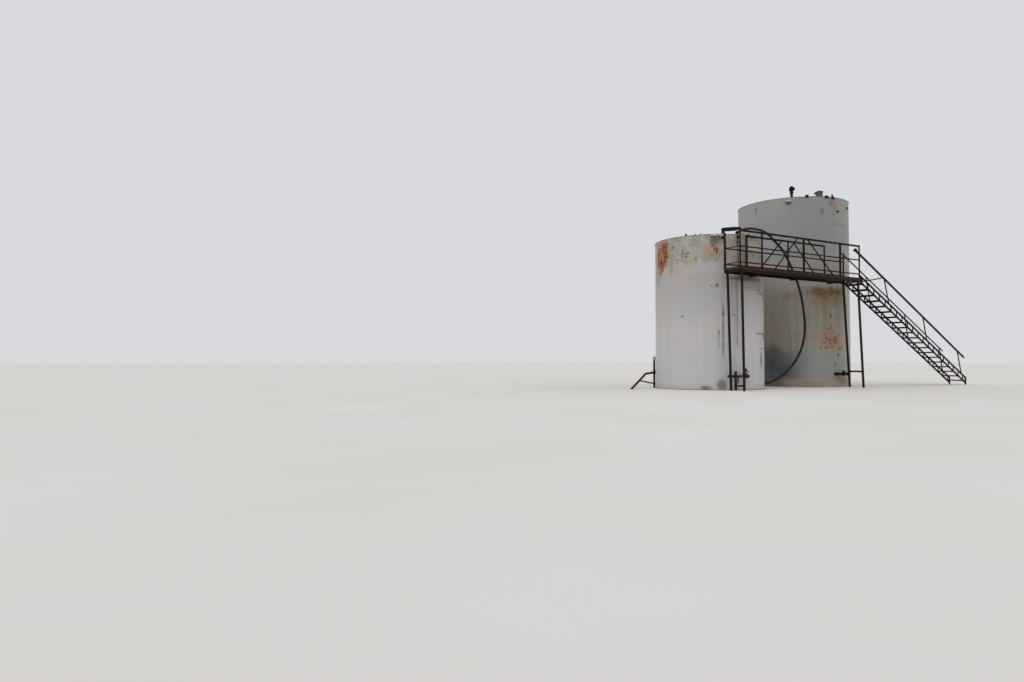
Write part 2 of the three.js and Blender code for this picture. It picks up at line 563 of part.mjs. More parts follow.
function sideRiser() {
  const angle = THREE.MathUtils.degToRad(RISER.angle);
  const at = (r, z) => [SHORT_TANK.x + r * Math.cos(angle), SHORT_TANK.y + r * Math.sin(angle), z];
  const [x, y] = at(RISER.radial, 0);
  const [fx, fy] = RISER.foot;
  const tee = at(RISER.radial, RISER.tee);
  const bend = [x + RISER_BEND.x, y + RISER_BEND.y, RISER.tee + RISER_BEND.z];
  const foot = [fx, fy, 0];
  const meet = bend.map((value, i) => value + (foot[i] - value) * RISER_LINK.share);
  const body = join([
    upright(x, y, 0, RISER.top, RISER.pipe, PIPE_SIDES),
    upright(x, y, RISER.top - RISER_FITTING.capHeight, RISER.top, RISER_FITTING.cap, PIPE_SIDES),
    ball(tee, RISER_FITTING.body),
    tube(tee, at(SHORT_TANK.radius - 5 * SINK, RISER.tee), RISER.pipe, PIPE_SIDES),
    tube(tee, bend, RISER.pipe, PIPE_SIDES),
    ball(bend, RISER.pipe + 1),
    tube(bend, foot, RISER.pipe, PIPE_SIDES),
    ball(foot, RISER.pipe),
    tube([x, y, RISER_LINK.z], meet, RISER_LINK.pipe, PIPE_SIDES),
  ]);
  const ground = block(fx - SPARE, x + SPARE, fy - SPARE, y + SPARE, -SPARE, 0);
  place('side_pipework', toGeometry(cut(body, [tankSpace(SHORT_TANK), ground])), darkSteel);
}

tankShell('short_tank', SHORT_TANK, whitePaint);
tankShell('tall_tank', TALL_TANK, greyPaint);
roofs();
walkwayFrame();
walkwayRails();
tieBracket();
legs();
stair();
inletAndHose();
frontPipes();
tallTankOutlet();
sideRiser();

// The origin sits on the ground under the middle of the whole structure.
const bounds = new THREE.Box3().setFromObject(part);
part.position.set(-(bounds.min.x + bounds.max.x) / 2, -(bounds.min.y + bounds.max.y) / 2, 0);

export default part;
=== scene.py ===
"""Two upright steel storage tanks with a raised walkway, a stair and a hose.

Metres, +Z up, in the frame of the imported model. Places along the walkway are given from its left
end on the front rail's line: s runs to the right, t towards the tanks and z up from the ground.
"""
import math

import bmesh
import bpy
from mathutils import Matrix, Vector


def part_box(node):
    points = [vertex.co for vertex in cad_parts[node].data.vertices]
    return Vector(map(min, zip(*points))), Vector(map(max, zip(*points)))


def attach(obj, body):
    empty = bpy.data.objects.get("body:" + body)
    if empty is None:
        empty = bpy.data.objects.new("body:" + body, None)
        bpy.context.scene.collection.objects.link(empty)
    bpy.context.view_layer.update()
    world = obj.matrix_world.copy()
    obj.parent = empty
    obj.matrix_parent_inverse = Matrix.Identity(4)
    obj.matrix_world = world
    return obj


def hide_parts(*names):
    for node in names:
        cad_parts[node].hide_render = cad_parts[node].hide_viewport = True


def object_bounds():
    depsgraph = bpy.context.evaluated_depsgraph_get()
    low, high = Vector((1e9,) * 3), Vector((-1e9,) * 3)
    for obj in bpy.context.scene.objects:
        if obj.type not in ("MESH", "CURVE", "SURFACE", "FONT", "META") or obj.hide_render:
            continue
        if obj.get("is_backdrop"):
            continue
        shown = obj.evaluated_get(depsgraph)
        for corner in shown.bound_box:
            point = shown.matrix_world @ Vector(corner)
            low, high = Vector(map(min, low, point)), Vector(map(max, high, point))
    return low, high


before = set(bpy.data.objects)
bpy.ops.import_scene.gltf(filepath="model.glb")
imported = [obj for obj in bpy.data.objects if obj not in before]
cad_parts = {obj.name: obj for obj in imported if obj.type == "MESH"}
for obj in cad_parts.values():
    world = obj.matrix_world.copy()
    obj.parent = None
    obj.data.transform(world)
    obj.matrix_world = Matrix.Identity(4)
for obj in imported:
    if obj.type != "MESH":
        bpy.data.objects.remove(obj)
CAD_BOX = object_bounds()
UP = Vector((0, 0, 1))
ALONG = Vector((1, 0, 0))
BACK = Vector((0, 1, 0))

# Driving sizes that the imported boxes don't give.
POST_TUBE, THICK_TUBE, RAIL_TUBE = 0.024, 0.033, 0.031
THIN_TUBE, BRACE_TUBE, LIGHT_TUBE = 0.020, 0.020, 0.013
CHANNEL_HALF, CHANNEL_FLANGE, CHANNEL_THICK = 0.022, 0.039, 0.010
LEG_RADIUS, STRUT_TUBE = 0.036, 0.028
FLOOR_LIP, ROOF_LIP, ROOF_SLOPE = 0.020, 0.012, 1 / 12
PLATE, WALL_WELD, CROWN = 0.006, 0.0045, 0.22
MID_RAIL, LOW_RAIL, BACK_END_TOP = 0.574, 0.120, 0.866
POST_STATIONS = (0.0, 0.905, 2.760, 4.520, 5.500)
FRONT_BRACES = ((1.459, 2.484), (4.147, 2.928))
BACK_BRACES = ((1.400, 2.479), (4.115, 3.005))
WALL_SIDES, TUBE_SIDES = 192, 20
SEAT_GAP = 0.0003

# The walkway's left end on the front rail's line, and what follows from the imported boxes.
FRONT_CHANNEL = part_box("front_channel")
START = Vector((FRONT_CHANNEL[0].x + POST_TUBE, FRONT_CHANNEL[0].y + CHANNEL_HALF, 0))
LENGTH = FRONT_CHANNEL[1].x - POST_TUBE - START.x
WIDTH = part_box("back_channel")[1].y - CHANNEL_HALF - START.y
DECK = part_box("deck_plate")[1].z
CHANNEL_FOOT = FRONT_CHANNEL[0].z
TOP_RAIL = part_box("front_handrail")[1].z - RAIL_TUBE - DECK
TREADS = [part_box(f"tread_{i}") for i in range(1, 21)]
SLOPE = (TREADS[0][1].z - TREADS[-1][1].z) / (TREADS[-1][1].x - TREADS[0][1].x)


def at(s, t, z):
    """A place on the walkway's own lines."""
    return START + Vector((s, t, z))


def level(angle):
    """The level direction at an angle from +x towards +y."""
    return Vector((math.cos(angle), math.sin(angle), 0))


class Tank:
    """A tank's middle, sizes and the direction of its best seen side, from its packed boxes."""

    def __init__(self, prefix, face, seams, uprights):
        low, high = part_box(f"{prefix}_floor")
        self.prefix = prefix
        self.x = (low.x + high.x) / 2
        self.y = (low.y + high.y) / 2
        self.radius = (high.x - low.x) / 2 - FLOOR_LIP
        self.foot = high.z
        self.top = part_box(f"{prefix}_wall_1")[1].z
        self.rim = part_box(f"{prefix}_roof")[0].z + PLATE
        self.face = math.radians(face)
        self.seams = seams
        self.uprights = uprights

    def middle(self, z=0):
        return Vector((self.x, self.y, z))

    def roof(self, radius):
        """Height of the roof's outer face at a distance from the middle."""
        return self.rim + (self.radius - radius) * ROOF_SLOPE

    def outwards(self, arc):
        return level(self.face + arc / self.radius)

    def along(self, arc):
        return UP.cross(self.outwards(arc))

    def on_wall(self, arc, z, out=0.0):
        """A place at a distance round the wall from the middle of its best seen side."""
        angle, reach = self.face + arc / self.radius, self.radius + out
        return Vector((self.x + reach * math.cos(angle), self.y + reach * math.sin(angle), z))


SHORT = Tank("short_tank", -136.0, (1.52, 3.04), (1.15, -0.35, 0.62))
TALL = Tank("tall_tank", -142.4, (1.71, 3.25, 4.79), (-0.5, 0.9, -0.9, 0.3))
VIEW = {"place": (-15.5725, -13.7455, 0.8494), "heading": 0.5324, "pitch": 0.0287, "lens": 24.702}


def set_camera():
    """The view from the left and near the ground, tipped up a little."""
    turn = (math.pi / 2 + VIEW["pitch"], 0, -VIEW["heading"])
    bpy.ops.object.camera_add(location=at(*VIEW["place"]), rotation=turn)
    camera = bpy.context.object
    camera.data.sensor_width = 36.0
    camera.data.lens = VIEW["lens"]
    camera.data.clip_end = 400
    bpy.context.scene.camera = camera


# Selecting and settling.
def object_mode():
    if bpy.context.mode != "OBJECT":
        bpy.ops.object.mode_set(mode="OBJECT")


def rest():
    """Back to object mode with nothing selected."""
    object_mode()
    bpy.ops.object.select_all(action="DESELECT")


def take(piece):
    """Selects one piece and makes it the active one."""
    rest()
    piece.select_set(True)
    bpy.context.view_layer.objects.active = piece


def settle():
    """Puts the active piece's place and turn into its mesh."""
    object_mode()
    bpy.ops.object.transform_apply(location=True, rotation=True, scale=True)
    return bpy.context.object


def edit(kind="FACE", action="SELECT"):
    bpy.ops.object.mode_set(mode="EDIT")
    bpy.ops.mesh.select_mode(type=kind)
    bpy.ops.mesh.select_all(action=action)


def pick(test):
    """Selects the faces of the piece in edit mode whose middle and normal pass the test."""
    shape = bmesh.from_edit_mesh(bpy.context.object.data)
    for face in shape.faces:
        face.select_set(test(face.calc_center_median(), face.normal))
    shape.select_flush_mode()
    bmesh.update_edit_mesh(bpy.context.object.data)


def draw_out(step):
    bpy.ops.mesh.extrude_region_move(TRANSFORM_OT_translate={"value": step})


def draw_rings(rings, x=0, y=0):
    """Draws the selected rim out from the first of several (height, radius) rings to the last."""
    for (z0, r0), (z1, r1) in zip(rings, rings[1:]):
        draw_out((0, 0, z1 - z0))
        bpy.ops.transform.resize(value=(r1 / r0, r1 / r0, 1), center_override=(x, y, z1))


def face_out():
    """Turns all faces of the closed piece in edit mode outwards."""
    bpy.ops.mesh.select_all(action="SELECT")
    bpy.ops.mesh.normals_make_consistent(inside=False)


def turn_out(direction):
    """Flips the open piece in edit mode where its first face points against the direction."""
    shape = bmesh.from_edit_mesh(bpy.context.object.data)
    shape.faces.ensure_lookup_table()
    wrong = shape.faces[0].normal.dot(direction(shape.faces[0].calc_center_median())) < 0
    bpy.ops.mesh.select_all(action="SELECT")
    if wrong:
        bpy.ops.mesh.flip_normals()


def turned_to(direction):
    return Vector(direction).to_track_quat("Z", "Y").to_euler()


def use_modifier(piece, kind, **settings):
    """Adds a modifier to a piece and applies it."""
    modifier = piece.modifiers.new(kind.lower(), kind)
    for key, value in settings.items():
        setattr(modifier, key, value)
    take(piece)
    bpy.ops.object.modifier_apply(modifier=modifier.name)
    return piece


def joined(parts):
    """Several parts as one piece, in place."""
    take(parts[0])
    for part in parts[1:]:
        part.select_set(True)
    if len(parts) > 1:
        bpy.ops.object.join()
    return settle()


def finished(name, parts, finish, *nodes, body="structure"):
    """Joins the parts into a named piece that rides on a body and stands for CAD nodes."""
    piece = joined(parts)
    piece.name = name
    piece.data.name = name
    bpy.ops.object.shade_smooth_by_angle(angle=math.radians(40))
    piece.data.materials.clear()
    piece.data.materials.append(finish.material)
    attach(piece, body)
    if nodes:
        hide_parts(*nodes)
    return piece


# Workshop shapes.
def block(middle, size, ease, turn=(0, 0, 0)):
    """A block with eased edges."""
    rest()
    bpy.ops.mesh.primitive_cube_add(size=1, location=middle, rotation=turn, scale=size)
    settle()
    edit("EDGE")
    bpy.ops.mesh.bevel(offset=ease, segments=2, affect="EDGES")
    return settle()


def bar(low, high, ease=0.003):
    """A flat or square bar between two corners."""
    low, high = Vector(low), Vector(high)
    return block((low + high) / 2, high - low, ease)


def slanted(start, end, width, height, ease=0.003):
    """A flat bar from one place to another: width is across it and level, height square to both."""
    run = end - start
    way = run.normalized()
    across = UP.cross(run).normalized()
    if across.length < 0.5:
        across = BACK
    turn = Matrix((way, across, way.cross(across))).transposed().to_euler()
    return block((start + end) / 2, (run.length, width, height), ease, turn)


def rod(start, end, radius, sides=TUBE_SIDES, ease=0.2):
    """A round bar or tube from one place to another, with its rims eased."""
    rest()
    start, end = Vector(start), Vector(end)
    run = end - start
    bpy.ops.mesh.primitive_cylinder_add(
        vertices=sides, radius=radius, depth=run.length, location=(start + end) / 2, rotation=turned_to(run),
    )
    settle()
    edit()
    way = run.normalized()
    pick(lambda middle, normal: abs(normal.dot(way)) > 0.9)
    bpy.ops.mesh.bevel(offset=radius * ease, segments=2, affect="EDGES")
    return settle()


def turned(start, direction, profile, sides=24):
    """A turned piece: a disc is drawn out along its axis, and widened or narrowed at each step."""
    rest()
    height, radius = profile[0]
    bpy.ops.mesh.primitive_circle_add(
        vertices=sides, radius=radius, fill_type="NGON", location=(0, 0, height),
    )
    settle()
    edit()
    draw_rings(profile)
    face_out()
    object_mode()
    piece = bpy.context.object
    piece.rotation_euler = turned_to(direction)
    piece.location = start
    return settle()


def weld(place, direction, radius, size=0.005, seed=1):
    """A lumpy ring of weld round a tube."""
    rest()
    bpy.ops.mesh.primitive_torus_add(
        location=place, rotation=turned_to(direction), major_radius=radius, minor_radius=size,
        major_segments=20, minor_segments=6,
    )
    settle()
    edit("VERT")
    bpy.ops.transform.vertex_random(offset=size * 0.3, seed=seed)
    return settle()


def knuckle(place, radius):
    """A rounded corner where two tubes meet."""
    rest()
    bpy.ops.mesh.primitive_uv_sphere_add(segments=16, ring_count=10, radius=radius, location=place)
    settle()
    edit()
    pick(lambda middle, normal: abs(normal.z) > 0.8)
    bpy.ops.transform.resize(value=(1, 1, 0.96), center_override=place)
    return settle()


def bolt(place, direction, size):
    """A hexagon head on a washer."""
    wide = size * 1.3
    rings = [(0, wide), (size * 0.2, wide), (size * 0.2, size), (size * 0.9, size), (size, size * 0.85)]
    return turned(place, direction, rings, sides=6)


def bent_pipe(points, radius, bend, sides):
    """A pipe through several points, with a swept bend at each one between its ends."""
    rest()
    here = points[0]
    way = (points[1] - here).normalized()
    bpy.ops.mesh.primitive_circle_add(
        vertices=sides, radius=radius, fill_type="NGON", location=here, rotation=turned_to(way),
    )
    settle()
    edit()
    for corner, after in zip(points[1:], points[2:]):
        next_way = (after - corner).normalized()
        angle = way.angle(next_way)
        back = bend * math.tan(angle / 2)
        draw_out(corner - way * back - here)
        axis = way.cross(next_way).normalized()
        centre = corner - way * back + axis.cross(way) * bend
        bpy.ops.mesh.spin(steps=6, angle=-angle, center=centre, axis=axis)
        here = corner + next_way * back
        way = next_way
    draw_out(points[-1] - here)
    face_out()
    return settle()


def channel(start, end, out, depth):
    """A channel: its web stands on the line between two places, and its edges are drawn out."""
    rest()
    run = end - start
    middle = (start + end) / 2 + UP * depth / 2
    turn = Matrix((run.normalized(), UP, run.normalized().cross(UP))).transposed().to_euler()
    bpy.ops.mesh.primitive_plane_add(size=1, location=middle, rotation=turn)
    bpy.context.object.scale = (run.length, depth, 1)
    settle()
    for side in (-1, 1):
        edit("EDGE", "DESELECT")
        shape = bmesh.from_edit_mesh(bpy.context.object.data)
        for edge in shape.edges:
            away = (edge.verts[0].co + edge.verts[1].co) / 2 - middle
            edge.select_set((away - UP * side * depth / 2).length < depth / 8)
        bmesh.update_edit_mesh(bpy.context.object.data)
        draw_out(out * CHANNEL_FLANGE)
        object_mode()
    edit()
    face_out()
    piece = use_modifier(settle(), "SOLIDIFY", thickness=CHANNEL_THICK, offset=0)
    return use_modifier(piece, "BEVEL", width=CHANNEL_THICK * 0.25, segments=2)


def copied(piece, steps):
    """Copies of a part, each with its own mesh, moved by each step."""
    copies = []
    for step in steps:
        copy = piece.copy()
        copy.data = piece.data.copy()
        copy.data.transform(Matrix.Translation(step))
        bpy.context.collection.objects.link(copy)
        copies.append(copy)
    return copies


def trimmed(piece, place, normal):
    """Cuts off what lies beyond a plane and closes the cut."""
    take(piece)
    edit()
    bpy.ops.mesh.bisect(plane_co=place, plane_no=normal, use_fill=True, clear_outer=True)
    return settle()


def cut_away(piece, tool):
    """Cuts one part's shape out of another."""
    use_modifier(piece, "BOOLEAN", object=tool, operation="DIFFERENCE", solver="EXACT")
    bpy.data.objects.remove(tool)
    return piece


def sleeve(start, direction, radius, wall, height):
    """A short open pipe with a wall thickness."""
    rest()
    bpy.ops.mesh.primitive_circle_add(vertices=32, radius=radius)
    edit("EDGE")
    draw_out((0, 0, height))
    turn_out(lambda middle: Vector((middle.x, middle.y, 0)))
    object_mode()
    piece = bpy.context.object
    piece.rotation_euler = turned_to(direction)
    piece.location = start
    use_modifier(settle(), "SOLIDIFY", thickness=wall, offset=-1)
    return use_modifier(piece, "BEVEL", width=wall * 0.15, segments=2)


def open_end(piece, place, way, wall):
    """Hollows the flat end of a pipe or a square tube, so that its wall shows."""
    take(piece)
    edit()
    pick(lambda middle, normal: normal.dot(way) > 0.95 and abs((middle - place).dot(way)) < 0.004)
    bpy.ops.mesh.inset(thickness=wall)
    draw_out(-way * wall * 6)
    return settle()


# The hose. Its route is the solid's own, from the inlet elbow on the short tank's roof to the nozzle.
HOSE_ROUTE = (
    (1.0006, 0.95495, 4.84808), (1.045, 0.9516, 4.8543), (1.137, 0.9445, 4.826), (1.300, 0.930, 4.860),
    (1.500, 0.917, 4.892), (1.760, 0.905, 4.889), (2.040, 0.900, 4.858), (2.290, 0.903, 4.770),
    (2.580, 0.912, 4.600), (3.064, 0.935, 4.262), (3.505, 0.962, 3.708), (3.712, 0.985, 3.433),
    (4.010, 1.020, 2.790), (4.195, 1.065, 1.930), (4.170, 1.105, 1.520), (4.060, 1.145, 1.170),
    (3.810, 1.195, 0.800), (3.440, 1.245, 0.478), (3.085, 1.285, 0.275), (2.850, 1.290, 0.200),
    (2.720, 1.266, 0.176), (2.61796, 1.32948, 0.175),
)
HOSE_RADIUS = 0.038
NOZZLE = {"angle": -32, "z": 0.175, "reach": 0.130, "radius": 0.046}
INLET = {"place": (0.410, 1.000), "bend": 4.765, "radius": 0.050, "collar": 0.078, "wrap": 0.061}


def smooth_through(points, steps=8):
    """Points on one smooth curve through the given ones, evenly paced whatever their spacing."""
    points = [points[0] * 2 - points[1], *points, points[-1] * 2 - points[-2]]
    curve = []
    for p0, p1, p2, p3 in zip(points, points[1:], points[2:], points[3:]):
        pace = [max((b - a).length ** 0.5, 1e-4) for a, b in ((p0, p1), (p1, p2), (p2, p3))]
        first = ((p1 - p0) / pace[0] - (p2 - p0) / (pace[0] + pace[1]) + (p2 - p1) / pace[1]) * pace[1]
        last = ((p2 - p1) / pace[1] - (p3 - p1) / (pace[1] + pace[2]) + (p3 - p2) / pace[2]) * pace[1]
        for i in range(steps):
            u = i / steps
            rise = u * u * (3 - 2 * u)
            curve.append(p1 * (1 - rise) + p2 * rise + first * (u * (1 - u) ** 2) - last * (u * u * (1 - u)))
    return [*curve, points[-2]]


def hose(finish):
    """The black hose, as a curve with the hose's own thickness."""
    rest()
    points = smooth_through([at(*place) for place in HOSE_ROUTE])
    line = bpy.data.curves.new("hose", "CURVE")
    line.dimensions = "3D"
    line.bevel_depth = HOSE_RADIUS
    line.bevel_resolution = 5
    line.use_fill_caps = True
    spline = line.splines.new("POLY")
    spline.points.add(len(points) - 1)
    for point, place in zip(spline.points, points):
        point.co = (*place, 1)
    spline.use_smooth = True
    piece = bpy.data.objects.new("rubber_hose", line)
    bpy.context.collection.objects.link(piece)
    line.materials.append(finish.material)
    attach(piece, "structure")
    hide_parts("hose")
    length = sum((b - a).length for a, b in zip(points, points[1:]))
    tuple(points[0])


def hose_bands(end, inner, *steps):
    """Clamp bands with their screws at steps from the hose's end, along its first stretch."""
    way = (at(*inner) - at(*end)).normalized()
    side = way.cross(UP).normalized()
    parts = []
    for step in steps:
        start = at(*end) + way * step
        lug = start + way * 0.007 + side.cross(way) * (HOSE_RADIUS + 0.006)
        parts += [
            sleeve(start, way, HOSE_RADIUS + 0.003, 0.002, 0.014),
            rod(lug - side * 0.018, lug + side * 0.018, 0.005, 10),
            slanted(lug - way * 0.007, lug + way * 0.007, 0.020, 0.010, 0.002),
        ]
    return parts


# Tanks.
def wall_rings(tank):
    """Heights and radii of the shell's rings: even steps, with a weld bead at each seam."""
    even = [tank.foot + (tank.top - tank.foot) * i / 24 for i in range(1, 25)]
    rings = [(z, tank.radius) for z in even if all(abs(z - seam) > 0.02 for seam in tank.seams)]
    for seam in tank.seams:
        for step, bulge in ((0.016, 0.0), (0.008, 0.0), (0.004, 0.0015)):
            rings += [(seam - step, tank.radius + bulge), (seam + step, tank.radius + bulge)]
    return sorted(rings)


def open_skin(tank, radius, z, rings):
    """A ring in edit mode at a tank's foot or eaves, drawn out through further rings."""
    rest()
    bpy.ops.mesh.primitive_circle_add(vertices=WALL_SIDES, radius=radius, location=tank.middle(z))
    settle()
    edit("EDGE")
    draw_rings([(z, radius), *rings], tank.x, tank.y)


def tank_shell(tank, finish):
    """The rolled wall plates of a tank, a little uneven, with their level and upright welds."""
    open_skin(tank, tank.radius, tank.foot, wall_rings(tank))
    turn_out(lambda middle: middle - tank.middle(middle.z))
    shell = settle()
    dents = bpy.data.textures.new("plate_dents", "CLOUDS")
    dents.noise_scale = 1.1
    dents.noise_depth = 1
    use_modifier(shell, "DISPLACE", texture=dents, texture_coords="LOCAL", strength=0.009, mid_level=0.5)
    use_modifier(shell, "SOLIDIFY", thickness=PLATE, offset=-1)
    parts = [shell]
    courses = [tank.foot, *tank.seams, tank.top]
    third = 2 * math.pi * tank.radius / 3
    for first, low, high in zip(tank.uprights, courses, courses[1:]):
        for k in range(3):
            arc = first + k * third
            parts.append(rod(tank.on_wall(arc, low), tank.on_wall(arc, high), WALL_WELD, 8))
    nodes = [f"{tank.prefix}_wall_{i}" for i in range(1, 5)]
    finished(f"{tank.prefix}_shell", parts, finish, *nodes)


def tank_roof(tank):
    """The low cone of a roof with its lip, radial welds, a bead round the wall and a middle plate."""
    radii = [tank.radius * (1 - step / 8.2) for step in range(9)]
    open_skin(tank, tank.radius + ROOF_LIP, tank.rim, [(tank.roof(r), r) for r in radii])
    bpy.ops.mesh.edge_face_add()
    turn_out(lambda middle: UP)
    skin = use_modifier(settle(), "SOLIDIFY", thickness=PLATE, offset=-1)
    crown = tank.middle(tank.roof(CROWN))
    plate = [(-0.004, CROWN), (0.006, CROWN), (0.007, 0.215), (0.016, 0.09)]
    parts = [skin, turned(crown, UP, plate, sides=48)]
    for i in range(10):
        way = level(tank.face + 0.2 + i * math.pi / 5)
        outer = tank.middle(tank.roof(tank.radius)) + way * tank.radius
        parts.append(rod(crown + way * CROWN, outer, WALL_WELD, 8))
    return parts


def short_tank_cover(finish):
    finished("short_tank_cover", tank_roof(SHORT), finish, "short_tank_roof")


HATCH = {
    "place": (5.366, 1.323), "hole": 0.092, "neck": 0.108, "hinge": 0.150, "barrel": 0.014, "cap": 0.124,
}
LID_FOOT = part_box("hatch_lid")[0].z
NECK_TOP = LID_FOOT + 0.0087


def hatch_seat():
    """Where the hatch's axis meets the tall tank's roof."""
    place = at(*HATCH["place"], 0)
    return place + UP * TALL.roof((place - TALL.middle()).length)


def tall_tank_cover(finish):
    """The tall tank's roof, with the hole under its gauging hatch."""
    skin, *parts = tank_roof(TALL)
    hole = turned(hatch_seat() - UP * 0.2, UP, [(0, HATCH["hole"]), (0.4, HATCH["hole"])], sides=32)
    parts.append(cut_away(skin, hole))
    finished("tall_tank_cover", parts, finish, "tall_tank_roof")


def hatch_neck(finish):
    """The gauging hatch's neck with its rim, its weld and the two ears of the hinge."""
    seat = hatch_seat()
    axis = Vector((seat.x, seat.y, 0))
    neck, hinge = HATCH["neck"], HATCH["hinge"]
    parts = [
        sleeve(seat - UP * 0.012, UP, neck, neck - HATCH["hole"], NECK_TOP - seat.z + 0.012),
        sleeve(axis + UP * (NECK_TOP - 0.014), UP, neck + 0.012, 0.014, 0.013),
        weld(seat, UP, neck + 0.001, 0.006, 5),
    ]
    ears = ((neck - 0.012, -0.060, -0.006, 0.003), (hinge - 0.014, -0.012, 0.019, 0.004))
    for side in (-0.04, 0.04):
        for near, foot, head, ease in ears:
            low = axis + Vector((side - 0.006, near, NECK_TOP + foot))
            parts.append(bar(low, axis + Vector((side + 0.006, hinge + 0.014, NECK_TOP + head)), ease))
    finished("hatch_neck", parts, finish, "tall_tank_roof")


def vent(finish):
    """The breather on the tall tank's crown: stem, flanges, head and its side weight."""
    crown = TALL.middle(TALL.roof(0))
    head = TALL.middle(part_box("tall_tank_roof")[1].z - 0.205)
    skirt = [(0, 0.085), (0.020, 0.085), (0.022, 0.082), (0.030, 0.058), (0.045, 0.048)]
    bowl = [
        (0, 0.046), (0.020, 0.064), (0.040, 0.080), (0.060, 0.084), (0.064, 0.090), (0.078, 0.090),
        (0.082, 0.084), (0.145, 0.084), (0.170, 0.074), (0.188, 0.050), (0.198, 0.026), (0.205, 0.022),
    ]
    weight = [(0, 0.030), (0.045, 0.030), (0.048, 0.040), (0.062, 0.040), (0.066, 0.034)]
    side = level(-0.5)
    parts = [rod(crown - UP * 0.03, head + UP * 0.02, 0.046), turned(crown - UP * 0.01, UP, skirt)]
    parts += [turned(head - UP * drop, UP, [(0, 0.070), (0.012, 0.070)]) for drop in (0.050, 0.034)]
    parts += [turned(head, UP, bowl, sides=32), turned(head + UP * 0.112 + side * 0.05, side, weight)]
    parts += [bolt(head + level(k * math.pi / 3) * 0.058 - UP * 0.022, UP, 0.009) for k in range(6)]
    finished("roof_vent", parts, finish, "tall_tank_roof")


def hatch_cap(finish):
    """The hatch's lid: a pressed cap with a rolled rim, a grip, a tongue and its hinge barrel."""
    bottom, radius, hinge = LID_FOOT + 0.009, HATCH["cap"], HATCH["hinge"]
    edge = [(0, radius - 0.004), (0.004, radius), (0.018, radius)]
    rim = [*edge, (0.024, radius - 0.006), (0.020, radius - 0.022)]
    grip = [(0.022, 0.060), (0.026, 0.046), (0.030, 0.040), (0.046, 0.040), (0.054, 0.034), (0.056, 0.018)]

    def place(x, y, z):
        return at(*HATCH["place"], 0) + Vector((x, y, z))

    parts = [
        turned(place(0, 0, bottom), UP, rim + grip, sides=48),
        bar(place(-0.028, radius - 0.030, bottom), place(0.028, hinge, bottom + 0.018)),
        rod(place(-0.028, hinge, NECK_TOP + 0.005), place(0.028, hinge, NECK_TOP + 0.005), HATCH["barrel"]),
    ]
    parts += [bolt(place(side, radius - 0.010, bottom + 0.017), UP, 0.008) for side in (-0.014, 0.014)]
    finished("hatch_cap", parts, finish, "hatch_lid", body="lid")


def rim_plate(tank, arc, width, rise, drop=0.05, thickness=0.016):
    """A plate welded flat to the top of a tank's wall and standing above its rim."""
    half = tank.along(arc) * width / 2
    middle = tank.on_wall(arc, tank.rim + (rise - drop) / 2, thickness / 2)
    return slanted(middle - half, middle + half, thickness, rise + drop)


SHELF = {"arc": -0.10, "z": 6.20, "width": 0.17, "reach": 0.10, "gusset": 0.085}


def tall_tank_shelf(paint, steel):
    """A small level shelf on the tall tank's wall, and the two gussets under it."""
    arc, width, reach, gusset = SHELF["arc"], SHELF["width"], SHELF["reach"], SHELF["gusset"]
    out = TALL.outwards(arc)
    root = TALL.on_wall(arc, SHELF["z"], -0.01)
    shelf = slanted(root, root + out * (reach + 0.01), width, 0.035)
    gussets = []
    for side in (-0.35, 0.35):
        start = root + TALL.along(arc) * side * width - UP * 0.060
        toe = start + UP * -gusset / 2 + out * 0.02
        plate = slanted(start, start + out * (reach + 0.005), 0.010, gusset)
        gussets.append(trimmed(plate, toe, (out * gusset - UP * reach).normalized()))
    finished("tall_tank_shelf", [shelf], paint)
    finished("tall_tank_gussets", gussets, steel)


GAUGE = {
    "arc": 0.86, "low": 1.30, "high": 3.46, "reach": 0.045, "tube": 0.024, "sleeve": 4.33, "clamp": 4.52,
}


def level_gauge(paint, steel):
    """The short tank's painted gauge tube on its brackets, and the dark line that runs up to the roof."""
    low, high, tube, clamp = GAUGE["low"], GAUGE["high"], GAUGE["tube"], GAUGE["clamp"]
    top = SHORT.rim + 0.05

    def place(z, out=GAUGE["reach"]):
        return SHORT.on_wall(GAUGE["arc"], z, out)

    parts = [rod(place(low), place(high), tube)]
    for z in (low + 0.12, (low + high) / 2, high - 0.16):
        parts.append(slanted(place(z, -0.01), place(z), 0.050, 0.008))
        parts.append(sleeve(place(z - 0.015), UP, tube + 0.004, 0.004, 0.030))
    cap = [(0, tube + 0.005), (0.002, tube + 0.007), (0.022, tube + 0.007), (0.024, tube + 0.005)]
    parts += [turned(place(z - 0.012), UP, cap, sides=8) for z in (low, high)]
    finished("gauge_tube", parts, paint)
    side = SHORT.along(GAUGE["arc"]) * 0.042
    middle = place(top, GAUGE["reach"] - 0.01)
    corner = Vector((0.04, 0.04, 0))
    parts = [
        slanted(place(top, -0.05), place(top, GAUGE["reach"] + 0.03), 0.060, 0.075, 0.008),
        rod(place(high), place(top), 0.009, 12),
        rod(middle - side, middle + side, 0.020, 20),
        knuckle(place(clamp), 0.042),
        rod(place(GAUGE["sleeve"]), place(clamp), 0.020, 20),
    ]
    parts += [rod(place(z - 0.025), place(z + 0.025), 0.016, 16) for z in (4.24, 4.14, 4.02, 3.92, 3.82)]
    parts.append(bar(place(SHORT.rim, -0.03) - corner, place(SHORT.rim + 0.015, -0.03) + corner, 0.002))
    finished("gauge_line", parts, steel)


def short_tank_studs(finish):
    """Capped studs along the short tank's rim."""
    stud = [(0, 0.040), (0.016, 0.040), (0.018, 0.026), (0.056, 0.026), (0.062, 0.018)]
    parts = []
    for arc, size in ((-0.67, 1.0), (-0.38, 0.6), (-0.22, 0.6), (1.32, 0.6)):
        foot = SHORT.on_wall(arc, SHORT.rim + 0.002, -0.03)
        parts.append(turned(foot, UP, [(h * size, r * size) for h, r in stud], sides=16))
    finished("short_tank_studs", parts, finish)


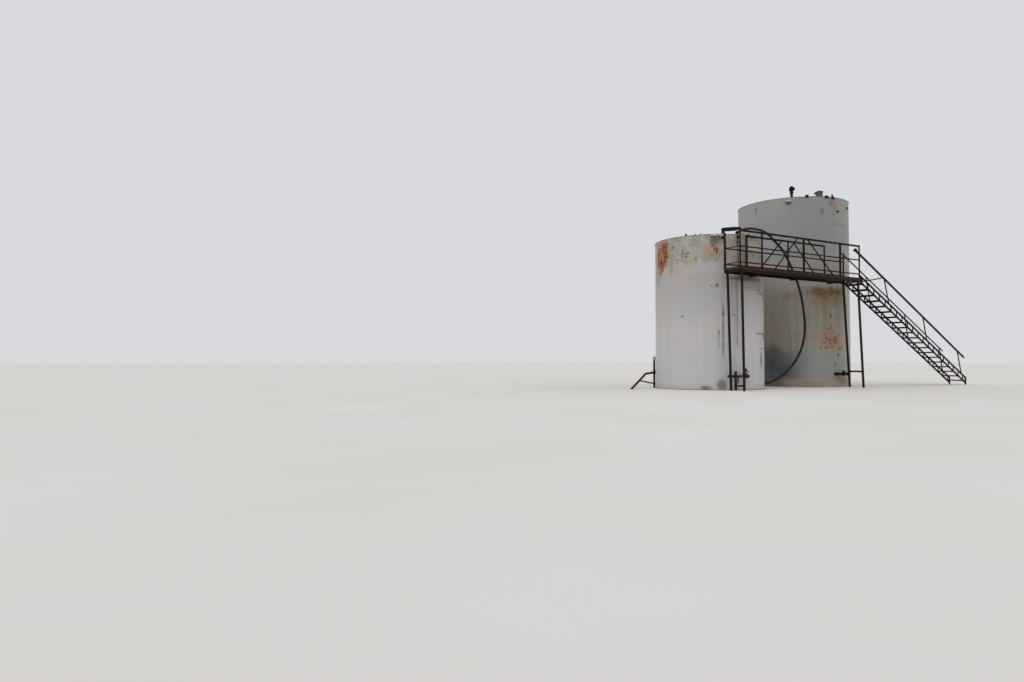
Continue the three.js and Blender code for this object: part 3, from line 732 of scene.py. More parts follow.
SAIL = {"arc": 1.42, "half": 0.080, "rise": 0.145, "drop": 0.07, "eye": 0.014}


def tall_tank_lugs(finish):
    """Lifting lugs and a three-cornered plate with an eye at the tall tank's rim."""
    parts = [rim_plate(TALL, 0.48, 0.10, 0.055), rim_plate(TALL, 1.16, 0.15, 0.035)]
    arc, half, rise = SAIL["arc"], SAIL["half"], SAIL["rise"]
    sail = rim_plate(TALL, arc, half * 2, rise, SAIL["drop"])
    foot = TALL.on_wall(arc, TALL.rim - 0.05, 0)
    for side, lean in ((1, 0.115), (-1, 0.025)):
        edge = TALL.along(arc) * side
        sail = trimmed(sail, foot + edge * half, (edge * rise + UP * lean).normalized())
    eye = TALL.on_wall(arc - 0.012, TALL.rim + 0.045, -0.01)
    hole = turned(eye, TALL.outwards(arc), [(0, SAIL["eye"]), (0.05, SAIL["eye"])], sides=16)
    parts.append(cut_away(sail, hole))
    finished("tall_tank_lugs", parts, finish)


def tall_tank_plugs(finish):
    """Threaded couplings high on the tall tank's wall, each with a hexagon plug in it."""
    socket = [(0, 0.038), (0.030, 0.038), (0.033, 0.035)]
    plug = [(0, 0.024), (0.022, 0.024), (0.025, 0.020)]
    parts = []
    for arc, z in ((1.62, 5.87), (2.29, 6.07)):
        parts.append(turned(TALL.on_wall(arc, z, -0.01), TALL.outwards(arc), socket))
        parts.append(turned(TALL.on_wall(arc, z, 0.018), TALL.outwards(arc), plug, sides=6))
    finished("tall_tank_plugs", parts, finish)


# Walkway.
def walkway_frame(finish, dark):
    """Two channels, three square tubes under them, and the bars across the ends."""
    low, high = CHANNEL_FOOT + 0.005, DECK - 0.005
    for name, t, side in (("front_channel", -0.017, 1), ("back_channel", WIDTH + 0.017, -1)):
        start, end = at(-POST_TUBE, t, low), at(LENGTH + POST_TUBE, t, low)
        finished(f"{name}_beam", [channel(start, end, BACK * side, high - low)], finish, name)
    for i in (1, 2, 3):
        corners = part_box(f"cross_bearer_{i}")
        tube = bar(*corners, 0.005)
        for side, corner in zip((-1, 1), corners):
            open_end(tube, corner, BACK * side, 0.005)
        finished(f"bearer_{i}", [tube], dark, f"cross_bearer_{i}")
    for name in ("left_end_bar", "right_end_bar"):
        finished(f"{name}_flat", [bar(*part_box(name), 0.002)], finish, name)


def deck_plates(finish):
    """Three raised-pattern plates laid end to end, tacked to the frame."""
    low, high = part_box("deck_plate")
    joints = [low.x, low.x + 1.62, low.x + 3.18, high.x]
    parts = []
    for x0, x1 in zip(joints, joints[1:]):
        parts.append(bar((x0 + 0.002, low.y, low.z), (x1 - 0.002, high.y, high.z), 0.0015))
    pitch = 0.040
    rows = (
        (int((high.x - low.x - 0.04) / pitch), (pitch, 0, 0)),
        (int((high.y - low.y - 0.03) / pitch), (0, pitch, 0)),
    )
    for shift, turn in ((0, 0.8), (pitch / 2, -0.8)):
        rest()
        place = (low.x + 0.025 + shift, low.y + 0.022 + shift, high.z)
        size = (0.026, 0.008, 0.003)
        bpy.ops.mesh.primitive_cube_add(size=1, location=place, rotation=(0, 0, turn), scale=size)
        settle()
        edit()
        pick(lambda middle, normal: normal.z > 0.9)
        bpy.ops.transform.resize(value=(0.7, 0.5, 1), center_override=place)
        lug = settle()
        for count, step in rows:
            use_modifier(lug, "ARRAY", count=count, use_relative_offset=False, use_constant_offset=True,
                         constant_offset_displace=step)
        parts.append(lug)
    finished("walkway_plates", parts, finish, "deck_plate")


def side_rail(t, thick, ends, end_top, braces):
    """Posts, three rails and two leaning braces on one side of the walkway."""

    def place(s, height):
        return at(s, t, DECK + height)

    parts = [rod(place(ends[0], TOP_RAIL), place(ends[1], TOP_RAIL), RAIL_TUBE)]
    parts += [rod(place(0, height), place(LENGTH, height), THIN_TUBE) for height in (MID_RAIL, LOW_RAIL)]
    parts += [knuckle(place(s, TOP_RAIL), RAIL_TUBE + 0.001) for s in ends]
    for i, s in enumerate(POST_STATIONS):
        top = end_top if s == POST_STATIONS[-1] else TOP_RAIL
        radius = THICK_TUBE if i in thick else POST_TUBE
        parts.append(rod(place(s, SEAT_GAP), place(s, top), radius))
        parts.append(weld(place(s, 0.005), UP, radius, 0.006, i))
        parts.append(weld(place(s, top - RAIL_TUBE), UP, radius, 0.005, i + 10))
        for height in (MID_RAIL, LOW_RAIL):
            parts.append(weld(place(s - radius, height), ALONG, THIN_TUBE, 0.004, i + 20))
            parts.append(weld(place(s + radius, height), ALONG, THIN_TUBE, 0.004, i + 30))
    for foot, head in braces:
        low, high = place(foot, 0.008), place(head, TOP_RAIL)
        parts.append(rod(low, high, BRACE_TUBE))
        parts.append(weld(low + (high - low) * 0.004, high - low, BRACE_TUBE, 0.004, 7))
    return parts


def walkway_rails(finish):
    front = side_rail(0, (2, 3), (0, LENGTH), TOP_RAIL, FRONT_BRACES)
    finished("front_rails", front, finish, "front_handrail")
    back = side_rail(WIDTH, (0, 1), (POST_STATIONS[1], POST_STATIONS[3]), BACK_END_TOP, BACK_BRACES)
    for height in (MID_RAIL, LOW_RAIL):
        back.append(rod(at(0, POST_TUBE, DECK + height), at(0, WIDTH, DECK + height), LIGHT_TUBE))
        back.append(weld(at(0, WIDTH - THICK_TUBE, DECK + height), BACK, LIGHT_TUBE, 0.004, 3))
    finished("back_rails", back, finish, "back_handrail")


TIE = {"z": 4.500, "bar": 0.050, "drop": 0.380, "corner": 0.160, "toe": 0.040, "plate": 0.012}
STRAP = {"z": 4.573, "first": 0.07, "step": 0.075, "width": 0.012, "height": 0.045}


def wall_tie(steel, paint):
    """The bar and corner plate that tie the walkway to the short tank, with a painted strap on top."""
    post = at(0, WIDTH, 0)
    way = SHORT.middle() - post
    reach = way.length - SHORT.radius
    way.normalize()
    side = UP.cross(way)
    start = post + way * (THICK_TUBE + SEAT_GAP)
    end = post + way * (reach + 0.004)
    mid = UP * (TIE["z"] - TIE["bar"] / 2)
    parts = [slanted(start + mid, end + mid, TIE["bar"], TIE["bar"], 0.004)]
    mid = UP * (TIE["z"] - TIE["drop"] / 2)
    gusset = slanted(start + mid, start + way * TIE["corner"] + mid, TIE["plate"], TIE["drop"], 0.002)
    toe = start + way * TIE["toe"] + UP * (TIE["z"] - TIE["drop"])
    normal = way * TIE["drop"] - UP * (TIE["corner"] - TIE["toe"])
    parts.append(trimmed(gusset, toe, normal.normalized()))
    for step in (0.05, 0.12, 0.19):
        parts.append(bolt(post + way * step + UP * (TIE["z"] - TIE["bar"] - 0.001), -UP, 0.012))
    for drop in (0.09, 0.17, 0.25):
        parts.append(bolt(start + way * 0.025 - side * 0.006 + UP * (TIE["z"] - drop), -side, 0.010))
    head = [(0, 0.026), (0.020, 0.026), (0.024, 0.021)]
    for arc in (0.10, 0.19, 0.31):
        seat = SHORT.on_wall(arc, STRAP["z"] - 0.050, -0.004)
        parts.append(turned(seat, SHORT.outwards(arc), head, sides=6))
    finished("wall_tie_arm", parts, steel, "tie_bracket")
    places = [SHORT.on_wall(STRAP["first"] + STRAP["step"] * i, STRAP["z"], 0.010) for i in range(6)]
    strap = [slanted(a, b, STRAP["width"], STRAP["height"], 0.002) for a, b in zip(places, places[1:])]
    finished("wall_tie_strap", strap, paint)


LEGS = (("left", 0.080, 0.160), ("right", 5.450, 5.700))
LEG_INSET = {"top": 0.020, "foot": 0.040}


def legs(finish):
    """Four pipe legs, a little closer together at the ground, and the strut between the right ones."""
    top = CHANNEL_FOOT - SEAT_GAP
    for end, head, foot in LEGS:
        for side, t, inwards in (("front", 0, 1), ("back", WIDTH, -1)):
            low = at(foot, t + inwards * LEG_INSET["foot"], 0.0)
            high = at(head, t + inwards * LEG_INSET["top"], top)
            lean = high - low
            pole = rod(low - lean * 0.02, high + lean * 0.02, LEG_RADIUS, 28)
            trimmed(pole, low, -UP)
            trimmed(pole, high, UP)
            ring = weld(high - lean * 0.002, lean, LEG_RADIUS, 0.006, 4)
            plate = bar(high + Vector((-0.05, -0.040, -0.008)), high + Vector((0.05, 0.040, 0)), 0.002)
            finished(f"{end}_{side}_pole", [pole, ring, plate], finish, f"{end}_{side}_leg")
    low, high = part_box("leg_strut")
    middle = (low + high) / 2
    start = Vector((middle.x, low.y - 0.01, middle.z))
    end = Vector((middle.x, high.y + 0.01, middle.z))
    parts = [rod(start, end, STRUT_TUBE)]
    parts.append(weld(start + BACK * 0.012, BACK, STRUT_TUBE, 0.006, 1))
    parts.append(weld(end - BACK * 0.012, BACK, STRUT_TUBE, 0.006, 2))
    finished("pole_strut", parts, finish, "leg_strut")


# Stair.
TOP_CHORD, BOTTOM_CHORD, CHORD, LINK = 0.078, -0.110, 0.044, 0.010
NEAR_HANDRAIL = {"height": 0.705, "head": -0.290, "end": 6.060, "tube": 0.033, "offset": 0.060}
FAR_HANDRAIL = {"height": 0.865, "head": 0.0, "end": 5.920, "tube": 0.021, "offset": 0.047}
KNOB = 0.060
STAIR_POSTS = ((1.516, 1.270), (3.714, 3.504), (5.901, 5.671))
STAIR_POST_TUBE = 0.019
CORNER_ROD = {"foot": 0.081, "foot_z": 3.406, "head": 1.190, "tube": 0.018}


def on_slope(height, d, t=0.0):
    """A place beside the stair: d beyond the walkway's end, at a height above the stair's line."""
    return at(LENGTH + d, t, DECK + height - SLOPE * d)


def stringer(name, node, t, inner, finish):
    """Two sloping chords with upright links between them, bolted where each tread ends."""
    low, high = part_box(node)
    run = high.x - at(LENGTH, 0, 0).x
    ends = (
        (Vector((low.x, 0, 0)), -ALONG), (Vector((high.x, 0, 0)), ALONG),
        (Vector((0, 0, 0)), -UP), (Vector((0, 0, high.z)), UP),
    )
    parts = []
    for height in (TOP_CHORD, BOTTOM_CHORD):
        chord = slanted(on_slope(height, -0.2, t), on_slope(height, run + 0.3, t), CHORD, CHORD, 0.004)
        for place, normal in ends:
            trimmed(chord, place, normal)
        parts.append(chord)
    face = t + inner * CHORD / 2
    t0, t1 = sorted((face, face - inner * LINK))
    going = TREADS[1][0].x - TREADS[0][0].x
    for i in range(len(TREADS)):
        d = (i + 0.5) * going
        lower, upper = on_slope(BOTTOM_CHORD, d, t0), on_slope(TOP_CHORD, d, t1)
        parts.append(bar(lower - ALONG * 0.030, upper + ALONG * 0.030, 0.002))
    middle = (TREADS[0][0] + TREADS[0][1]) / 2
    outer = Vector((middle.x, START.y + face - inner * LINK, middle.z + 0.035))
    nut = bolt(outer, -BACK * inner, 0.009)
    steps = [tread[0] - TREADS[0][0] for tread in TREADS]
    parts += [nut, *copied(nut, steps[1:]), *copied(nut, [step - UP * 0.070 for step in steps])]
    half = CHORD / 2
    upper, lower = on_slope(TOP_CHORD, 0, t), on_slope(BOTTOM_CHORD, 0, t)
    parts.append(bar((low.x, upper.y - half, lower.z), (low.x + CHORD, upper.y + half, upper.z), 0.004))
    end = on_slope(TOP_CHORD, run, t)
    parts.append(bar((high.x - CHORD, end.y - half, 0), (high.x, end.y + half, end.z), 0.004))
    finished(name, parts, finish, node)


def treads(finish):
    """Open grating treads, the first one made and the rest copied."""
    low, high = TREADS[0]
    edge = 0.006
    grate = high.z - 0.030
    parts = [
        bar((low.x + edge, low.y, low.z), (high.x - edge, low.y + edge, high.z), 0.0015),
        bar((low.x + edge, high.y - edge, low.z), (high.x - edge, high.y, high.z), 0.0015),
        bar((high.x - 0.044, low.y, high.z - edge), high, 0.002),
        bar((high.x - edge, low.y, low.z), high, 0.002),
    ]
    bearing = bar((low.x, low.y + 0.005, grate), (low.x + edge, high.y - 0.005, high.z), 0.001)
    pitch = (high.x - low.x - 0.050) / 7
    parts += [bearing, *copied(bearing, [ALONG * k * pitch for k in range(1, 8)])]
    for k in range(5):
        y = low.y + 0.06 + k * (high.y - low.y - 0.12) / 4
        parts.append(rod((low.x + 0.001, y, high.z - edge), (high.x - edge, y, high.z - edge), 0.004, 8))
    ridge = high.z - 0.001
    for k in range(6):
        y = low.y + 0.04 + k * (high.y - low.y - 0.08) / 5
        one, other = (high.x - 0.034, y - 0.014, ridge), (high.x - 0.026, y + 0.014, ridge + 0.0015)
        parts.append(bar(one, other, 0.0005))
    first = joined(parts)
    others = copied(first, [tread[0] - low for tread in TREADS[1:]])
    for i, tread in enumerate([first, *others], start=1):
        finished(f"grating_tread_{i}", [tread], finish, f"tread_{i}")


def stair_rail(name, node, t, side, sizes, finish):
    """A stair handrail on its three posts; the near one has a ball at its head and a corner rod."""
    height, tube = sizes["height"], sizes["tube"]
    rail_t = t - side * sizes["offset"]
    post_t = t - side * (CHORD / 2 + SEAT_GAP + STAIR_POST_TUBE)
    head, tail = on_slope(height, sizes["head"], rail_t), on_slope(height, sizes["end"], rail_t)
    parts = [rod(head, tail, tube)]
    for i, (foot, top) in enumerate(STAIR_POSTS):
        low, high = on_slope(TOP_CHORD - 0.030, foot, post_t), on_slope(height, top, post_t)
        lean = high - low
        parts.append(rod(low, high, STAIR_POST_TUBE))
        parts.append(weld(high - lean * 0.03, lean, STAIR_POST_TUBE, 0.005, i))
        parts.append(weld(low + lean * 0.03, lean, STAIR_POST_TUBE, 0.005, i + 5))
    if sizes is NEAR_HANDRAIL:
        rod_t = t - side * (CHORD / 2 + SEAT_GAP + CORNER_ROD["tube"])
        foot = at(LENGTH + CORNER_ROD["foot"], rod_t, CORNER_ROD["foot_z"])
        down = (tail - head).normalized()
        parts.append(rod(foot, on_slope(height, CORNER_ROD["head"], rod_t), CORNER_ROD["tube"]))
        parts.append(knuckle(head, KNOB))
        parts.append(weld(head + down * (KNOB - 0.010), down, tube, 0.006, 9))
    finished(name, parts, finish, node)


# Pipework.
def flange(place, way, radius, thickness, bolts=6, size=0.007):
    """A round flange with bolts on both its faces."""
    rim = radius - 0.002
    rings = [(0, rim), (0.002, radius), (thickness - 0.002, radius), (thickness, rim)]
    across = way.cross(UP if abs(way.z) < 0.9 else ALONG).normalized()
    up = way.cross(across)
    parts = [turned(place, way, rings, sides=32)]
    for k in range(bolts):
        angle = (k + 0.5) * 2 * math.pi / bolts
        spot = place + (across * math.cos(angle) + up * math.sin(angle)) * (radius - size * 1.5)
        parts += [bolt(spot + way * thickness, way, size), bolt(spot, -way, size)]
    return parts


def inlet_pipe(finish):
    """The elbow on the short tank's roof, with its flange and the bands that hold the hose."""
    radius, wrap, collar = INLET["radius"], INLET["wrap"], INLET["collar"]
    place = at(*INLET["place"], 0)
    roof = SHORT.roof((place - SHORT.middle()).length)
    end = at(*HOSE_ROUTE[0])
    corner = place + UP * INLET["bend"]
    way = (end - corner).normalized()
    run = (end - corner).length - 0.20
    wrapping = [(0, radius), (0.006, wrap), (run - 0.006, wrap), (run, radius)]
    nut = [(0, 0.051), (0.004, 0.056), (0.055, 0.056), (0.060, 0.052)]
    parts = [
        bent_pipe([place + UP * (roof - 0.01), corner, end - way * 0.001], radius, 0.085, 24),
        knuckle(corner, radius + 0.009),
        *flange(place + UP * (roof + 0.002), UP, collar, 0.012),
        *flange(place + UP * (roof + 0.014), UP, collar, 0.010, 0),
        turned(corner + way * 0.08, way, wrapping),
        turned(end - way * 0.11, way, nut, sides=8),
        *hose_bands(HOSE_ROUTE[0], HOSE_ROUTE[1], 0.020, 0.055),
    ]
    finished("roof_inlet", parts, finish, "inlet_pipe")


def hose_nozzle(finish):
    """The stub low on the short tank's wall that the hose's lower end is clamped to."""
    out, radius = level(math.radians(NOZZLE["angle"])), NOZZLE["radius"]
    root = SHORT.middle(NOZZLE["z"]) + out * (SHORT.radius - 0.003)
    nut = [(0, radius), (0.003, radius + 0.007), (0.045, radius + 0.007), (0.048, radius)]
    parts = [
        rod(root, root + out * (NOZZLE["reach"] + 0.003), radius, 24),
        weld(root + out * 0.008, out, radius + 0.002, 0.006, 6),
        turned(root + out * 0.075, out, nut, sides=8),
        *hose_bands(HOSE_ROUTE[-1], HOSE_ROUTE[-2], 0.012, 0.045),
    ]
    finished("wall_nozzle", parts, finish, "hose_nozzle")


def wall_reach(tank, place):
    """How far a tank's wall stands behind a place in front of it."""
    return tank.y - math.sqrt(tank.radius ** 2 - (tank.x - place.x) ** 2) - place.y


FRONT_PIPES = {
    "place": (0.364, 0.530), "nozzle": 0.409, "top": 0.556, "end": 0.920, "valve": 0.790, "pipe": 0.036,
}
LOW_PIPE = {"z": 0.130, "end": 0.680, "radius": 0.024}
DRIP_LEG = {"s": 0.462, "foot": 0.200, "radius": 0.017}
LEVER = {"rise": 0.038, "hub": 0.030, "start": 0.012, "slope": 0.82, "length": 0.150, "plate": 0.012}


def front_pipes(finish):
    """The standpipe at the short tank's foot, with its valve, low drain and branch to the wall."""
    s, t = FRONT_PIPES["place"]
    pipe, height = FRONT_PIPES["pipe"], FRONT_PIPES["nozzle"]
    base, nozzle, end = at(s, t, 0), at(s, t, height), at(FRONT_PIPES["end"], t, height)
    valve = at(FRONT_PIPES["valve"], t, height)
    reach = BACK * wall_reach(SHORT, base)
    low, drain_end = at(s, t, LOW_PIPE["z"]), at(LOW_PIPE["end"], t, LOW_PIPE["z"])
    drip, drip_top = at(DRIP_LEG["s"], t, DRIP_LEG["foot"]), at(DRIP_LEG["s"], t, height)
    ring = [(0, pipe + 0.002), (0.004, pipe + 0.010), (0.020, pipe + 0.010), (0.024, pipe + 0.002)]
    cap = [(0, pipe + 0.004), (0.004, pipe + 0.009), (0.030, pipe + 0.009), (0.034, 0.050), (0.040, 0.048)]
    plug = [(0, 0.024), (0.003, 0.031), (0.046, 0.031), (0.050, 0.029)]
    body = [
        (0, 0.038), (0.012, 0.041), (0.025, 0.056), (0.045, 0.065), (0.075, 0.065), (0.095, 0.056),
        (0.108, 0.041), (0.120, 0.038),
    ]
    bonnet = [(0, 0.042), (0.020, 0.042), (0.022, 0.034), (0.044, 0.030), (0.046, 0.018), (0.145, 0.018)]
    parts = [
        rod(base, base + UP * FRONT_PIPES["top"], pipe, 24),
        turned(base + UP * (FRONT_PIPES["top"] - 0.040), UP, cap, sides=8),
        rod(nozzle, nozzle + reach + BACK * 0.004, pipe, 24),
        weld(nozzle + reach - BACK * 0.006, BACK, pipe, 0.007, 3),
        turned(nozzle + BACK * 0.060, BACK, ring, sides=8),
        open_end(rod(nozzle, end, pipe, 24, 0.05), end, ALONG, 0.006),
        rod(low, drain_end, LOW_PIPE["radius"], 24, 0.05),
        turned(drain_end - ALONG * 0.050, ALONG, plug, sides=6),
        rod(drip, drip_top, DRIP_LEG["radius"], 16),
        turned(valve - ALONG * 0.060, ALONG, body, sides=28),
        *flange(valve - ALONG * 0.084, ALONG, 0.058, 0.010),
        *flange(valve + ALONG * 0.074, ALONG, 0.058, 0.010),
        turned(valve + UP * 0.045, UP, bonnet),
    ]
    for tee, ball in ((nozzle, 0.058), (low, 0.046)):
        parts += [turned(tee + UP * lift, UP, ring) for lift in (-0.070, 0.046)]
        parts.append(knuckle(tee, ball))
    finished("front_standpipe", parts, finish, "front_pipework")


def valve_handle(finish):
    """The valve's bent lever on its hub."""
    slope, plate, rise = LEVER["slope"], LEVER["plate"], LEVER["rise"]
    hub = at(FRONT_PIPES["valve"], FRONT_PIPES["place"][1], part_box("valve_lever")[1].z - rise)
    way = Vector((math.cos(slope), 0, -math.sin(slope)))
    under = Vector((-math.sin(slope), 0, -math.cos(slope))) * plate / 2
    start = hub + ALONG * LEVER["start"] + UP * LEVER["hub"] + under
    tip = start + way * LEVER["length"]
    parts = [
        turned(hub, UP, [(0, 0.022), (0.002, 0.024), (0.032, 0.024), (rise, 0.019)], sides=12),
        slanted(start, tip, 0.028, plate, 0.003),
        slanted(tip - way * 0.070, tip, 0.030, 0.016, 0.005),
        bolt(hub + UP * (rise - 0.002), UP, 0.009),
    ]
    finished("lever_handle", parts, finish, "valve_lever", body="lever")


OUTLET = {"start": 5.550, "end": 6.000, "t": 0.790, "z": 0.430, "valve": 5.780, "pipe": 0.046}


def tall_outlet(finish):
    """The tall tank's outlet: a branch from the wall, an elbow and a gate valve."""
    pipe = OUTLET["pipe"]
    corner, end, valve = [at(OUTLET[key], OUTLET["t"], OUTLET["z"]) for key in ("start", "end", "valve")]
    root = corner + BACK * (wall_reach(TALL, corner) + 0.004)
    collar = [(0, 0.048), (0.003, 0.056), (0.040, 0.056), (0.043, 0.048)]
    body = [
        (0, 0.050), (0.004, 0.060), (0.020, 0.060), (0.026, 0.054), (0.042, 0.064), (0.056, 0.071),
        (0.084, 0.071), (0.098, 0.064), (0.114, 0.054), (0.120, 0.060), (0.136, 0.060), (0.140, 0.050),
    ]
    bonnet = [(0, 0.046), (0.026, 0.046), (0.028, 0.034), (0.048, 0.030), (0.050, 0.018), (0.071, 0.018)]
    rim = [(0, 0.054), (0.003, 0.060), (0.0235, 0.060), (0.024, 0.059)]
    parts = [
        bent_pipe([root, corner, end - ALONG * 0.010], pipe, 0.060, 24),
        weld(root - BACK * 0.010, BACK, pipe, 0.007, 8),
        knuckle(corner, 0.058),
        turned(root - BACK * 0.07, BACK, collar, sides=8),
        turned(valve - ALONG * 0.070, ALONG, body, sides=28),
        turned(valve + UP * 0.047, UP, bonnet),
        open_end(turned(end - ALONG * 0.024, ALONG, rim, sides=32), end, ALONG, 0.016),
    ]
    finished("tall_outlet_valve", parts, finish, "tall_tank_outlet")


RISER = {"angle": 138.5, "radial": 1.702, "top": 1.000, "tee": 0.490, "foot": (-1.660, 2.760), "pipe": 0.034}
RISER_BEND = Vector((-0.450, -0.100, -0.040))
RISER_LINK = {"z": 0.133, "share": 0.45, "radius": 0.022}


def side_riser(finish, pale):
    """The standpipe on the short tank's far side: a capped head, a tee, and two pipes led away."""
    pipe, top = RISER["pipe"], RISER["top"]
    out = level(math.radians(RISER["angle"]))
    base = SHORT.middle() + out * RISER["radial"]
    tee = base + UP * RISER["tee"]
    wall = SHORT.middle(RISER["tee"]) + out * (SHORT.radius - 0.003)
    bend = tee + RISER_BEND
    foot = at(*RISER["foot"], 0.0)
    link = base + UP * RISER_LINK["z"]
    ring = [(0, pipe + 0.002), (0.004, pipe + 0.009), (0.020, pipe + 0.009), (0.024, pipe + 0.002)]
    cap = [(0, 0.036), (0.004, 0.044), (0.120, 0.044), (0.126, 0.034), (0.130, 0.030)]
    branch = bent_pipe([tee, bend, foot + (foot - bend).normalized() * 0.06], pipe, 0.09, 24)
    parts = [
        rod(base, base + UP * (top - 0.010), pipe, 24),
        rod(tee, wall, pipe, 24),
        weld(wall + out * 0.006, out, pipe, 0.006, 4),
        knuckle(tee, 0.047),
        *[turned(tee + UP * lift, UP, ring) for lift in (-0.066, 0.042)],
        trimmed(branch, Vector((0, 0, 0)), -UP),
        turned(tee + RISER_BEND.normalized() * 0.035, RISER_BEND, ring, sides=8),
        rod(link, bend + (foot - bend) * RISER_LINK["share"], RISER_LINK["radius"], 20, 0.05),
        knuckle(link, 0.042),
    ]
    finished("side_standpipe", parts, finish, "side_pipework")
    finished("side_standpipe_cap", [turned(base + UP * (top - 0.130), UP, cap, sides=8)], pale)


# Finishes.
class Reading:
    """A value that changes over a surface. Python's own arithmetic on it adds the Math nodes."""

    def __init__(self, finish, socket):
        self.finish = finish
        self.socket = socket

    def _math(self, operation, *values):
        return self.finish.node("Math", {"operation": operation}, dict(enumerate(values)))

    def __add__(self, other):
        return self._math("ADD", self, other)

    def __radd__(self, other):
        return self._math("ADD", other, self)

    def __sub__(self, other):
        return self._math("SUBTRACT", self, other)

    def __rsub__(self, other):
        return self._math("SUBTRACT", other, self)

    def __mul__(self, other):
        return self._math("MULTIPLY", self, other)

    def __rmul__(self, other):
        return self._math("MULTIPLY", other, self)

    def __abs__(self):
        return self._math("ABSOLUTE", self)

    def __or__(self, other):
        """The larger of two values, as of two marks that overlap."""
        return self._math("MAXIMUM", self, other)

    def step(self, low, high):
        """0 below low and 1 above high, with a soft change between; low may be the larger."""
        settings = {"interpolation_type": "SMOOTHSTEP"}
        return self.finish.node("MapRange", settings, {"Value": self, "From Min": low, "From Max": high})

    def line(self, middle, outer, inner=0.0):
        """1 within inner of one value, fading out to 0 at outer away from it."""
        return abs(self - middle).step(outer, inner)


def rgb(red, green, blue):
    """A colour given as it looks on a screen, 0 to 255."""
    return (*[((c / 255 + 0.055) / 1.055) ** 2.4 if c > 10 else c / 3295 for c in (red, green, blue)], 1)


class Finish:
    """A material under construction: its nodes, and the colour laid on so far."""

    def __init__(self, name, slot, roughness, shine=0.5):
        self.material = bpy.data.materials.new(name)
        self.material.use_nodes = True
        self.slot = slot
        self.tree = self.material.node_tree
        self.shader = self.tree.nodes["Principled BSDF"].inputs
        self.shader["Roughness"].default_value = roughness
        self.shader["Specular IOR Level"].default_value = shine
        self.place = self.node("TexCoord", output="Object")
        self.colour = None

    def node(self, kind, settings=None, values=None, output=0):
        """Any other node: its settings are set first, then the values or links of its sockets."""
        node = self.tree.nodes.new(f"ShaderNode{kind}")
        for key, value in (settings or {}).items():
            setattr(node, key, value)
        for key, value in (values or {}).items():
            self.feed(node.inputs[key], value)
        if isinstance(output, tuple):
            return [Reading(self, node.outputs[i]) for i in output]
        return Reading(self, node.outputs[output])

    def feed(self, socket, value):
        if isinstance(value, Reading):
            self.tree.links.new(value.socket, socket)
        else:
            socket.default_value = value

    def noise(self, scale, detail, roughness=0.55, where=None):
        values = {"Vector": where or self.place, "Scale": scale, "Detail": detail, "Roughness": roughness}
        return self.node("TexNoise", None, values)

    def stretched(self, scale):
        """The piece's own place, measured with a different scale along each axis."""
        return self.node("Mapping", None, {"Vector": self.place, "Scale": scale})

    def blend(self, amount, below, above):
        """One colour over another."""
        return self.node("Mix", {"data_type": "RGBA"}, {"Factor": amount, 6: below, 7: above}, output=2)

    def coat(self, amount, *colour):
        """Lays a colour, given in red, green and blue or as a reading, over what is there."""
        above = colour[0] if len(colour) == 1 else rgb(*colour)
        self.colour = self.blend(amount, self.colour, above)

    def ground(self, amount, one, other):
        """Two colours mixed, as the first coat."""
        self.colour = self.blend(amount, one, other)

    def done(self, roughness, height, depth, strength):
        """Feeds the colour, the roughness and a bump to the shader."""
        values = {"Height": height, "Distance": depth, "Strength": strength}
        self.feed(self.shader["Base Color"], self.colour)
        self.feed(self.shader["Roughness"], roughness)
        self.feed(self.shader["Normal"], self.node("Bump", None, values))
        return self


